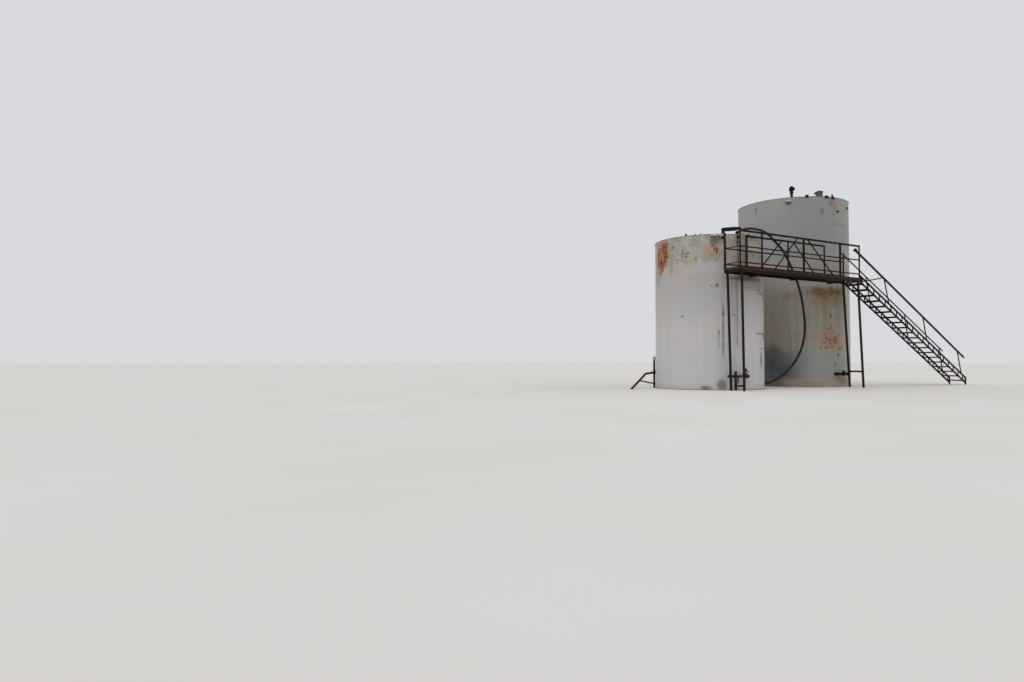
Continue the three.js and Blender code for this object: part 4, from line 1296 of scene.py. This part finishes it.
class WallFinish(Finish):
    """A finish for a tank's wall, whose marks are placed on the wall rolled out flat."""

    def __init__(self, name, slot, tank, roughness):
        super().__init__(name, slot, roughness)
        x, y, self.height = self.node("SeparateXYZ", None, {"Vector": self.place}, output=(0, 1, 2))
        angle = self.node("Math", {"operation": "ARCTAN2"}, {0: y - tank.y, 1: x - tank.x})
        turn = self.node("Math", {"operation": "WRAP"}, {0: angle - tank.face, 1: math.pi, 2: -math.pi})
        self.arc = turn * tank.radius
        half_way = math.pi * tank.radius
        # The same as the arc on the seen side, but back at 0 on the far side, so that nothing ends there.
        self.across = self.arc * abs(self.arc).step(half_way, half_way * 0.45)
        self.rolled_out = self.node("CombineXYZ", None, {"X": self.arc, "Y": self.height})
        self.coarse = self.noise(4.5, 5, 0.65) * 2 - 1
        self.middling = self.noise(10.0, 4, 0.65) * 2 - 1
        self.fine = self.noise(26.0, 5, 0.7) * 2 - 1
        self.specks = self.noise(95.0, 3, 0.6)
        self.streaks = self.noise(1.0, 4, 0.6, self.stretched((11.0, 11.0, 0.55)))
        self.thin_streaks = self.noise(1.0, 3, 0.6, self.stretched((34.0, 34.0, 1.1)))

    def mark(self, arc, z, wide, high, soft=0.6, ragged=0.8):
        """1 within an oval on the wall, fading out at a ragged edge; wide and high are half sizes."""
        values = {0: self.rolled_out, 1: (1 / wide, 1 / high, 0), 2: (-arc / wide, -z / high, 0)}
        spread = self.node("VectorMath", {"operation": "MULTIPLY_ADD"}, values)
        away = self.node("VectorMath", {"operation": "LENGTH"}, {0: spread}, output=1)
        edge = self.coarse if min(wide, high) > 0.12 else self.fine
        return (away + edge * ragged).step(1 + soft / 2, 1 - soft)

    def marks(self, places, soft=0.6, ragged=0.8):
        """Several marks together."""
        total = self.mark(*places[0], soft, ragged)
        for place in places[1:]:
            total = total | self.mark(*place, soft, ragged)
        return total

    def between(self, low, high, soft):
        """1 between two heights."""
        return self.height.step(low - soft, low + soft) * self.height.step(high + soft, high - soft)

    def unseen(self):
        """1 on the side that the walkway doesn't reach, where no listed mark is placed."""
        return abs(self.arc).step(2.3, 3.0)

    def scattered_rust(self, top):
        """Rust that breaks out in patches near the rim, the seams and the foot, and runs down."""
        ends = self.height.step(top - 1.1, top - 0.1) | self.height.step(0.7, 0.05)
        patches = self.coarse * 0.35 + self.fine * 0.16 + (ends * 0.10 + self.streaks * 0.12)
        return patches.step(0.25, 0.38) * self.unseen() * 0.9

    def rusted(self, amount):
        """Rust over the paint: a tan stain round it, orange-brown inside and dark scale at its middle."""
        body = amount + self.fine * 0.28
        self.coat(amount.step(0.02, 0.5) * 0.70, 168, 130, 106)
        self.coat(body.step(0.38, 0.66), 138, 84, 54)
        self.coat((body + self.specks * 0.5).step(1.05, 1.35), 86, 50, 36)

    def weathered(self, rust, roughness, share, relief=0.0):
        """The last step: the surface is rougher and stands higher where the rust is."""
        height = self.fine * 0.4 + self.specks * 0.3 + rust * 1.2 - relief
        return self.done(self.fine * 0.08 + rust * share + roughness, height, 0.0025, 0.6)


def short_tank_paint():
    """Old white paint, warm and mottled near the rim and chalky below, with rust at the left shoulder."""
    finish = WallFinish("short_tank_paint", "white_paint", SHORT, 0.6)
    arc, z, coat, marks, between = finish.arc, finish.height, finish.coat, finish.marks, finish.between
    coarse, middling, fine, specks = finish.coarse, finish.middling, finish.fine, finish.specks
    finish.ground(finish.noise(0.8, 3).step(0.38, 0.62), rgb(176, 169, 166), rgb(168, 168, 170))
    coat(z.step(3.3, 1.2) * 0.75, 196, 196, 196)
    coat(finish.streaks.step(0.45, 0.75) * 0.30, 168, 165, 160)

    # The band under the rim: olive, cream and pink patches with small grey-brown spots.
    band = (z + coarse * 0.22).step(3.68, 3.92)
    mottle = (fine * 0.45 + coarse * 0.75).step(-0.20, 0.14)
    cream = marks([(-0.50, 4.02, 0.42, 0.30), (0.72, 4.00, 0.20, 0.22), (1.30, 3.95, 0.60, 0.40)])
    pink = marks([(0.10, 4.18, 0.28, 0.24), (-1.05, 3.55, 0.30, 0.18), (-0.30, 3.30, 0.60, 0.16)])
    olive = marks([(-1.95, 3.52, 0.30, 0.32), (-1.20, 3.95, 0.14, 0.50), (1.55, 3.22, 0.75, 0.30)])
    spots = marks([
        (-1.11, 4.30, 0.060, 0.055), (-0.78, 4.16, 0.050, 0.045), (-0.78, 4.00, 0.040, 0.045),
        (-0.60, 4.08, 0.060, 0.050), (-0.36, 3.89, 0.028, 0.080), (0.07, 4.01, 0.060, 0.022),
        (1.49, 4.01, 0.040, 0.045), (-0.98, 3.90, 0.030, 0.030), (0.86, 4.32, 0.050, 0.060),
        (-0.70, 4.08, 0.20, 0.030), (-0.66, 3.98, 0.07, 0.050), (0.50, 4.22, 0.06, 0.040),
    ])
    coat(band * mottle * 0.72, 144, 134, 112)
    coat(cream * mottle * 0.65, 180, 168, 142)
    coat(pink * 0.40, 182, 156, 144)
    coat(olive * 0.60, 146, 140, 112)
    coat(spots * 0.75, 92, 84, 70)
    coat(band * (specks + fine * 0.20).step(0.60, 0.72) * 0.7, 104, 92, 76)

    # Dirt that has run down from the tie, the deck and the gauge; the band under the deck is partly that
    # dirt and partly painted shadow of the walkway.
    stain_and_deck_shadow = marks([(0.20, 4.42, 0.17, 0.13), (0.14, 4.30, 0.09, 0.10), (1.20, 3.30, 0.75, 0.09)])
    coat(stain_and_deck_shadow * 0.80, 78, 76, 62)
    coat(marks([(-0.02, 4.10, 0.16, 0.22), (0.22, 4.10, 0.12, 0.22)], soft=1.0) * 0.55, 166, 128, 108)
    edge = (arc + coarse * 0.5).line(2.45, 0.32, 0.05) * (z + coarse * 0.2).step(1.3, 1.7) * z.step(3.9, 3.3)
    coat(edge * 0.55, 134, 118, 96)
    drips = (
        (arc + fine * 0.03).line(0.41, 0.050, 0.018) * between(1.00, 2.50, 0.15)
        | (arc + fine * 0.03).line(0.28, 0.040, 0.016) * between(1.28, 1.76, 0.06)
        | arc.line(0.68, 0.026, 0.012) * between(2.20, 3.30, 0.20) * 0.5
    )
    drips = drips * (fine + coarse).step(-0.40, 0.15)
    coat(drips * 0.75, 88, 86, 92)
    spatter = marks([(0.32, 1.15, 0.18, 0.80)]) * (specks * 0.6 + fine * 0.25).step(0.36, 0.46)
    coat(spatter * 0.8, 98, 94, 96)
    knots = marks([
        (0.24, 3.09, 0.062, 0.062), (0.09, 3.07, 0.030, 0.026), (-0.80, 2.19, 0.055, 0.032),
        (0.41, 2.22, 0.040, 0.075), (0.72, 2.21, 0.100, 0.022),
    ])
    coat(knots * 0.80, 74, 72, 74)
    combed = arc.line(0.62, 0.50, 0.20) * finish.thin_streaks.step(0.46, 0.62) * z.step(3.45, 3.2)
    coat(combed * 0.40, 138, 136, 140)

    # Scratches and a beige run beside the tall tank, and dirt splashed up from the ground.
    scratches = marks([
        (1.98, 2.90, 0.30, 0.030), (1.92, 1.68, 0.36, 0.034), (2.06, 1.23, 0.30, 0.022),
        (1.92, 0.90, 0.09, 0.27), (1.75, 2.99, 0.16, 0.030), (2.20, 1.60, 0.12, 0.110),
        (2.12, 1.64, 0.18, 0.030), (2.14, 2.84, 0.12, 0.060),
    ])
    coat(scratches * 0.85, 132, 102, 76)
    coat(z.step(0.20, 0.02) * (fine + 0.5) * 0.7, 186, 160, 146)
    coat(marks([(0.34, 0.16, 0.16, 0.17), (-0.10, 0.06, 0.18, 0.09)]) * 0.65, 78, 76, 82)
    low_seam, high_seam = [between(seam - 0.01, seam + 0.01, 0.012) for seam in SHORT.seams]
    coat((low_seam | high_seam) * coarse.step(-0.3, 0.3) * 0.15, 150, 132, 120)

    shoulder = marks([(-1.70, 4.18, 0.36, 0.52), (-1.72, 3.76, 0.24, 0.28)], 0.5, 0.9)
    core = marks([
        (-1.50, 4.20, 0.18, 0.44), (-1.84, 4.22, 0.11, 0.20), (-1.88, 3.96, 0.11, 0.20),
        (-1.66, 3.80, 0.16, 0.24),
    ], 0.5, 1.4)
    rust = (
        shoulder * (coarse * 0.9 + middling * 1.3 + fine * 0.6 + 0.42)
        | core * (middling * 2.0 + fine * 0.9 + 1.00)
        | marks([(0.24, 4.12, 0.050, 0.14), (0.17, 4.16, 0.030, 0.08)]) * 0.9
        | finish.scattered_rust(SHORT.top)
        | (z.step(SHORT.top - 0.06, SHORT.top - 0.01) * (fine + coarse * 0.6).step(0.05, 0.4)) * 0.8
    )
    finish.rusted(rust)
    coat(core * (fine * 0.7 - middling * 1.2 + 0.40).step(0.15, 0.60) * 0.80, 150, 82, 46)
    return finish.weathered(rust, 0.58, 0.25, drips * 0.3)


def tall_tank_paint():
    """Dull grey-white paint, darker round to the right by painted shade: even above the walkway; below it
    brown, streaked and blue-grey, with rust, painted shade beside the short tank and a painted highlight at
    the right edge.
    """
    finish = WallFinish("tall_tank_paint", "grey_paint", TALL, 0.65)
    arc, z, coat, marks, between = finish.across, finish.height, finish.coat, finish.marks, finish.between
    coarse, middling, fine, specks = finish.coarse, finish.middling, finish.fine, finish.specks
    tone = finish.noise(0.8, 3)
    finish.ground(tone.step(0.38, 0.62), rgb(152, 152, 151), rgb(148, 148, 150))
    coat(finish.streaks.step(0.40, 0.72) * 0.28, 138, 138, 136)
    # Painted shade: the wall turns darker round to the right, away from the light.
    coat(arc.step(-0.8, 1.4) * 0.65, 134, 134, 131)
    coat(arc.step(1.25, 1.9) * z.step(4.9, 5.6) * coarse.step(-0.2, 0.3) * 0.5, 146, 150, 138)

    # Seen through the rails: beige on the left, then olive-grey streaks below the deck.
    below = (z + coarse * 0.25 - arc * 0.10).step(4.62, 4.10)
    warm = (tone * 0.6 + coarse * 0.12).step(0.12, 0.50)
    coat(below * 0.85, finish.blend(warm, rgb(152, 149, 146), rgb(163, 152, 140)))
    freckles = below * between(3.40, 4.30, 0.2) * (coarse + fine * 0.6).step(0.12, 0.45)
    coat(freckles * arc.step(0.6, 1.2) * 0.5, 156, 120, 88)
    olive = finish.blend(finish.streaks.step(0.35, 0.62), rgb(158, 153, 140), rgb(140, 136, 122))
    # Partly brown stain, partly painted shade: darker on the side next to the short tank.
    stain_and_shade_by_short_tank = arc.step(0.20, -0.50) * abs(arc + coarse * 0.5).step(2.4, 1.5)
    olive = finish.blend(stain_and_shade_by_short_tank * 0.75, olive, rgb(138, 133, 118))
    # Painted highlight: a pale strip near the right edge stands in for light reflected from the sky.
    olive = finish.blend((arc + coarse * 0.3).step(1.70, 2.35) * 0.9, olive, rgb(190, 188, 176))
    coat((z + coarse * 0.45).step(3.75, 2.95) * (0.9 - finish.unseen() * 0.4), olive)
    coat(finish.thin_streaks.step(0.45, 0.60) * between(2.10, 3.10, 0.40) * 0.24, 112, 106, 90)
    blue = (z + coarse * 0.30 + arc * 0.10).step(1.42, 0.98)
    # Painted shade: the blue-grey turns dark on the side behind the short tank.
    stain_and_shade_by_short_tank = arc.step(0.8, -0.6) * abs(arc + coarse * 0.5).step(2.2, 1.3)
    coat(blue * 0.88, finish.blend(stain_and_shade_by_short_tank, rgb(147, 148, 148), rgb(92, 98, 102)))
    # Painted shadow low on the left, where the short tank shades the wall.
    coat(marks([(-0.70, 0.80, 0.34, 0.62), (-0.35, 0.55, 0.45, 0.45)], soft=1.2) * 0.70, 64, 68, 72)

    # Brown under the deck, with rust in it and runs down from it.
    brown = marks([
        (1.02, 3.17, 0.72, 0.17), (1.62, 3.13, 0.36, 0.22), (0.95, 3.08, 0.36, 0.15),
        (1.36, 3.15, 0.34, 0.16),
    ], 0.9, 1.1)
    brown = brown | marks([(0.52, 3.12, 0.18, 0.10), (-0.15, 3.02, 0.30, 0.14)], soft=1.0) * 0.35
    runs = marks([(1.05, 2.66, 0.36, 0.44), (1.20, 1.95, 0.34, 0.42)], soft=1.2)
    tan = marks([(-0.66, 1.86, 0.28, 0.22), (0.40, 1.62, 0.60, 0.18), (1.30, 1.50, 0.60, 0.24)], soft=1.2)
    coat(marks([(1.25, 2.86, 0.66, 0.22)], 1.1, 0.9) * 0.75, 128, 112, 74)
    coat(brown * 0.95, 108, 82, 55)
    coat(brown * (middling + fine * 0.6).step(0.0, 0.35) * 0.85, 74, 50, 32)
    coat(runs * finish.thin_streaks.step(0.44, 0.60) * 0.70, 118, 98, 70)
    coat(tan * 0.55, 158, 128, 104)

    # The foot: beige and orange earth stains, strongest under the outlet.
    coat((z + coarse * 0.10).step(0.36, 0.16) * arc.step(-0.6, -0.1) * 0.75, 172, 146, 122)
    earth = marks([(1.82, 0.20, 0.34, 0.15), (-0.75, 0.12, 0.35, 0.13)], soft=1.0) * 0.8
    earth = earth | marks([(0.59, 0.13, 0.42, 0.07)], soft=1.0) * 0.35
    coat(earth, 138, 106, 66)

    # Scuffs near the rim, dark dots low down and the upper seams.
    scuffs = marks([
        (0.98, 5.86, 0.075, 0.110), (1.40, 5.44, 0.042, 0.055), (1.62, 5.44, 0.042, 0.060),
        (1.42, 5.78, 0.035, 0.035), (1.95, 5.46, 0.20, 0.018), (1.42, 0.74, 0.055, 0.120),
        (-1.25, 6.05, 0.045, 0.160), (1.38, 6.14, 0.16, 0.10), (1.50, 5.98, 0.07, 0.06),
    ])
    dots = marks([
        (0.87, 1.30, 0.035, 0.040), (1.06, 1.30, 0.050, 0.045), (1.22, 1.31, 0.055, 0.035),
        (1.37, 1.30, 0.030, 0.035), (1.63, 1.27, 0.070, 0.045), (1.78, 1.28, 0.045, 0.035),
        (1.57, 1.06, 0.055, 0.065), (1.26, 2.36, 0.040, 0.090), (1.65, 1.70, 0.035, 0.045),
        (1.43, 1.53, 0.045, 0.085),
    ])
    coat(scuffs * 0.62, 88, 92, 82)
    coat(dots * 0.85, 70, 48, 38)
    lowest, *upper = TALL.seams
    upper_seams = z.line(upper[0], 0.020, 0.008) | z.line(upper[1], 0.020, 0.008)
    coat(upper_seams * coarse.step(-0.2, 0.4) * 0.35, 140, 126, 112)

    # The bed of rust low on the right, with scabs in it.
    dashes = (fine + coarse * 0.8).step(-0.30, 0.15)
    bed = marks([(1.36, 1.58, 0.62, 0.46), (1.28, 1.90, 0.30, 0.16)], 1.0, 0.9)
    coat(bed * (coarse + fine).step(-0.25, 0.25) * 0.70, 180, 148, 122)
    scabs = bed * (middling * 1.2 + fine * 0.5).step(0.08, 0.34) | marks([
        (1.02, 1.47, 0.08, 0.05), (1.08, 1.60, 0.05, 0.10), (1.21, 1.56, 0.06, 0.11),
        (1.26, 1.45, 0.08, 0.04), (1.37, 1.60, 0.04, 0.08), (1.48, 1.62, 0.06, 0.08),
        (1.44, 1.50, 0.06, 0.07),
    ], 0.9, 1.9) * 0.9
    trickles = [(1.46, 0.57, 0.030, 0.07), (1.44, 6.08, 0.080, 0.20), (1.49, 5.97, 0.080, 0.08)]
    seam = (z + fine * 0.02).line(lowest, 0.040, 0.008) * arc.step(-0.45, -0.25) * arc.step(1.35, 1.20)
    rust = (
        seam * dashes * 0.40
        | marks([(1.08, 1.93, 0.22, 0.022)]) * dashes * 0.6
        | bed * (fine * 1.3 + specks * 0.8 + coarse * 0.4).step(0.38, 0.70) * 0.70
        | scabs * 0.60
        | marks(trickles, ragged=1.5) * 0.46
        | brown * (fine * 0.8 + coarse).step(0.10, 0.50) * 0.72
        | marks([(-0.72, 1.80, 0.12, 0.07)]) * 0.4
        | earth * fine.step(0.0, 0.5) * 0.6
        | finish.scattered_rust(TALL.top)
    )
    finish.rusted(rust)
    coat(scabs * 0.75, 98, 66, 42)
    return finish.weathered(rust, 0.64, 0.20)


def roof_paint(name, slot, tank, clean, dusty, rust_ring):
    """A roof's paint: dusty, with dirt settled in rings, rusty welds and a rusty edge."""
    finish = WallFinish(name, slot, tank, 0.7)
    coat, coarse, fine = finish.coat, finish.coarse, finish.fine
    flat = {"Vector": finish.place, "Location": (-tank.x, -tank.y, 0), "Scale": (1, 1, 0)}
    middle = finish.node("Mapping", None, flat)
    reach = finish.node("VectorMath", {"operation": "LENGTH"}, {0: middle}, output=1)
    finish.ground(finish.noise(1.3, 4).step(0.35, 0.68), rgb(*clean), rgb(*dusty))
    coat((reach + coarse * 0.10).line(tank.radius * 0.82, 0.16) * 0.40, 140, 126, 106)
    coat(finish.specks.step(0.60, 0.72) * 0.45, 120, 108, 92)
    edge = reach.step(tank.radius - 0.05, tank.radius + 0.005)
    rust = (
        edge * (fine + coarse * 0.7).step(rust_ring, rust_ring + 0.4) * 0.9
        | (coarse + fine * 0.5).step(0.52, 0.74) * 0.85
        | reach.step(0.34, 0.20) * fine.step(-0.1, 0.4) * 0.8
    )
    finish.rusted(rust)
    return finish.weathered(rust, 0.66, 0.20)


# Each steel: its slot, its dark, brown and bright colours, how worn it is, and where painted shade begins.
STEELS = {
    "walkway_steel": ("rusty_steel", (38, 25, 22), (64, 38, 31), (112, 66, 44), 0.55),
    "leg_steel": ("rusty_steel", (23, 17, 16), (38, 26, 22), (70, 46, 35), 0.40),
    "channel_steel": ("rusty_steel", (38, 25, 22), (64, 38, 31), (112, 66, 44), 0.55, CHANNEL_FOOT + 0.07),
    "pipe_steel": ("bare_steel", (40, 31, 28), (62, 42, 35), (98, 66, 48), 0.50),
    "black_iron": ("bare_steel", (20, 17, 17), (32, 26, 25), (62, 46, 38), 0.30),
    "hatch_steel": ("bare_steel", (94, 78, 76), (116, 96, 92), (132, 102, 88), 0.50),
    "pale_steel": ("bare_steel", (140, 138, 132), (166, 164, 158), (112, 98, 84), 0.40),
}


def rusty_steel(name, slot, dark, brown, bright, wear, shaded_below=None):
    """Steel left to rust: dark scale, browner patches and small bright breaks; painted shade below a height.
    """
    finish = Finish(name, slot, 0.85, 0.2)
    broad, patches, grit = finish.noise(1.7, 4), finish.noise(11.0, 5, 0.65), finish.noise(75.0, 5, 0.7)
    finish.ground((broad * 0.5 + patches * 0.5).step(0.44, 0.58), rgb(*dark), rgb(*brown))
    finish.coat((patches * 0.6 + grit * 0.4).step(0.545, 0.60) * wear, *bright)
    amount = grit * 0.9 + 0.55
    grey = finish.node("CombineXYZ", None, {"X": amount, "Y": amount, "Z": amount})
    finish.colour = finish.node("VectorMath", {"operation": "MULTIPLY"}, {0: finish.colour, 1: grey})
    if shaded_below is not None:
        height = finish.node("SeparateXYZ", None, {"Vector": finish.place}, output=2)
        # Painted shade: near black below the height, for the shaded underside.
        finish.coat((height + patches * 0.03).step(shaded_below + 0.035, shaded_below) * 0.75, 18, 13, 12)
    return finish.done(grit * 0.25 + 0.70, grit + patches * 0.6, 0.003, 0.7)


def hose_rubber():
    """Black hose, dulled by dust in cloudy patches."""
    finish = Finish("black_hose", "black_hose", 0.5, 0.3)
    clouds, fine = finish.noise(5.0, 4), finish.noise(60.0, 4, 0.7)
    finish.ground((clouds * 0.6 + fine * 0.4).step(0.46, 0.70) * 0.55, rgb(14, 13, 15), rgb(46, 42, 42))
    return finish.done(clouds * 0.3 + 0.38, fine, 0.0015, 0.4)


def worn_cream_paint():
    """Cream paint with rust creeping in from chips."""
    finish = Finish("worn_cream_paint", "white_paint", 0.6)
    patches, fine = finish.noise(14.0, 5, 0.65), finish.noise(80.0, 5, 0.7)
    finish.ground(patches.step(0.35, 0.65), rgb(214, 208, 190), rgb(186, 180, 160))
    chips = (patches * 0.6 + fine * 0.4).step(0.54, 0.60)
    finish.coat(chips * 0.8, 96, 66, 46)
    return finish.done(chips * 0.3 + 0.55, chips - fine * 0.2, 0.002, 0.5)


def sun(height, heading, strength, spread, colour):
    """A soft, far light; heading is where it stands, in degrees from +x towards +y."""
    rest()
    bpy.ops.object.light_add(type="SUN")
    lamp = bpy.context.object
    lamp.data.energy = strength
    lamp.data.angle = math.radians(spread)
    lamp.data.color = colour
    up = math.radians(height)
    stand = level(math.radians(heading)) * math.cos(up) + UP * math.sin(up)
    lamp.rotation_euler = (-stand).to_track_quat("-Z", "Y").to_euler()


def light_and_floor():
    """A pale floor and backdrop, soft light from all round, a wide key light and a weaker one opposite."""
    rest()
    bpy.ops.mesh.primitive_plane_add(size=600, location=(0, 0, -0.001))
    floor = settle()
    floor.name = "studio_floor"
    finish = Finish("pale_floor", "floor", 0.95, 0.0)
    finish.ground(finish.noise(0.35, 3).step(0.3, 0.7), rgb(216, 214, 210), rgb(220, 218, 215))
    finish.feed(finish.shader["Base Color"], finish.colour)
    floor.data.materials.append(finish.material)
    floor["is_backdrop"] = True
    world = bpy.data.worlds.new("studio")
    bpy.context.scene.world = world
    world.use_nodes = True
    backdrop = world.node_tree.nodes["Background"].inputs
    backdrop["Color"].default_value = (0.96, 0.97, 1.0, 1)
    backdrop["Strength"].default_value = 0.72
    sun(48, -165, 0.75, 50, (1.0, 0.96, 0.92))
    sun(35, -20, 0.45, 60, (1.0, 0.97, 0.95))
    bpy.context.scene.view_settings.view_transform = "Standard"


set_camera()
hose(hose_rubber())
short_paint = short_tank_paint()
tall_paint = tall_tank_paint()
short_roof = roof_paint("short_roof_paint", "white_paint", SHORT, (190, 186, 180), (164, 156, 142), -0.15)
tall_roof = roof_paint("tall_roof_paint", "grey_paint", TALL, (152, 152, 150), (136, 132, 124), 0.20)
cream = worn_cream_paint()
steels = {name: rusty_steel(name, *look) for name, look in STEELS.items()}
leg_steel, pipe_steel, black_iron = steels["leg_steel"], steels["pipe_steel"], steels["black_iron"]
tank_shell(SHORT, short_paint)
tank_shell(TALL, tall_paint)
short_tank_cover(short_roof)
tall_tank_cover(tall_roof)
hatch_neck(steels["hatch_steel"])
hatch_cap(steels["hatch_steel"])
vent(black_iron)
level_gauge(short_paint, black_iron)
short_tank_studs(black_iron)
tall_tank_lugs(pipe_steel)
tall_tank_shelf(cream, black_iron)
tall_tank_plugs(black_iron)
walkway_frame(steels["channel_steel"], leg_steel)
deck_plates(steels["walkway_steel"])
walkway_rails(leg_steel)
wall_tie(leg_steel, cream)
legs(leg_steel)
stringer("front_string", "front_stringer", 0.0, 1, leg_steel)
stringer("back_string", "back_stringer", WIDTH, -1, leg_steel)
treads(leg_steel)
stair_rail("front_hand_rail", "front_stair_rail", 0.0, 1, NEAR_HANDRAIL, leg_steel)
stair_rail("back_hand_rail", "back_stair_rail", WIDTH, -1, FAR_HANDRAIL, leg_steel)
inlet_pipe(black_iron)
hose_nozzle(pipe_steel)
front_pipes(pipe_steel)
valve_handle(pipe_steel)
tall_outlet(black_iron)
side_riser(pipe_steel, steels["pale_steel"])
for node in ("short_tank_floor", "tall_tank_floor"):
    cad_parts[node].material_slots[0].material = pipe_steel.material
light_and_floor()

VISUAL_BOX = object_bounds()
[[list(corner) for corner in box] for box in (CAD_BOX, VISUAL_BOX)]
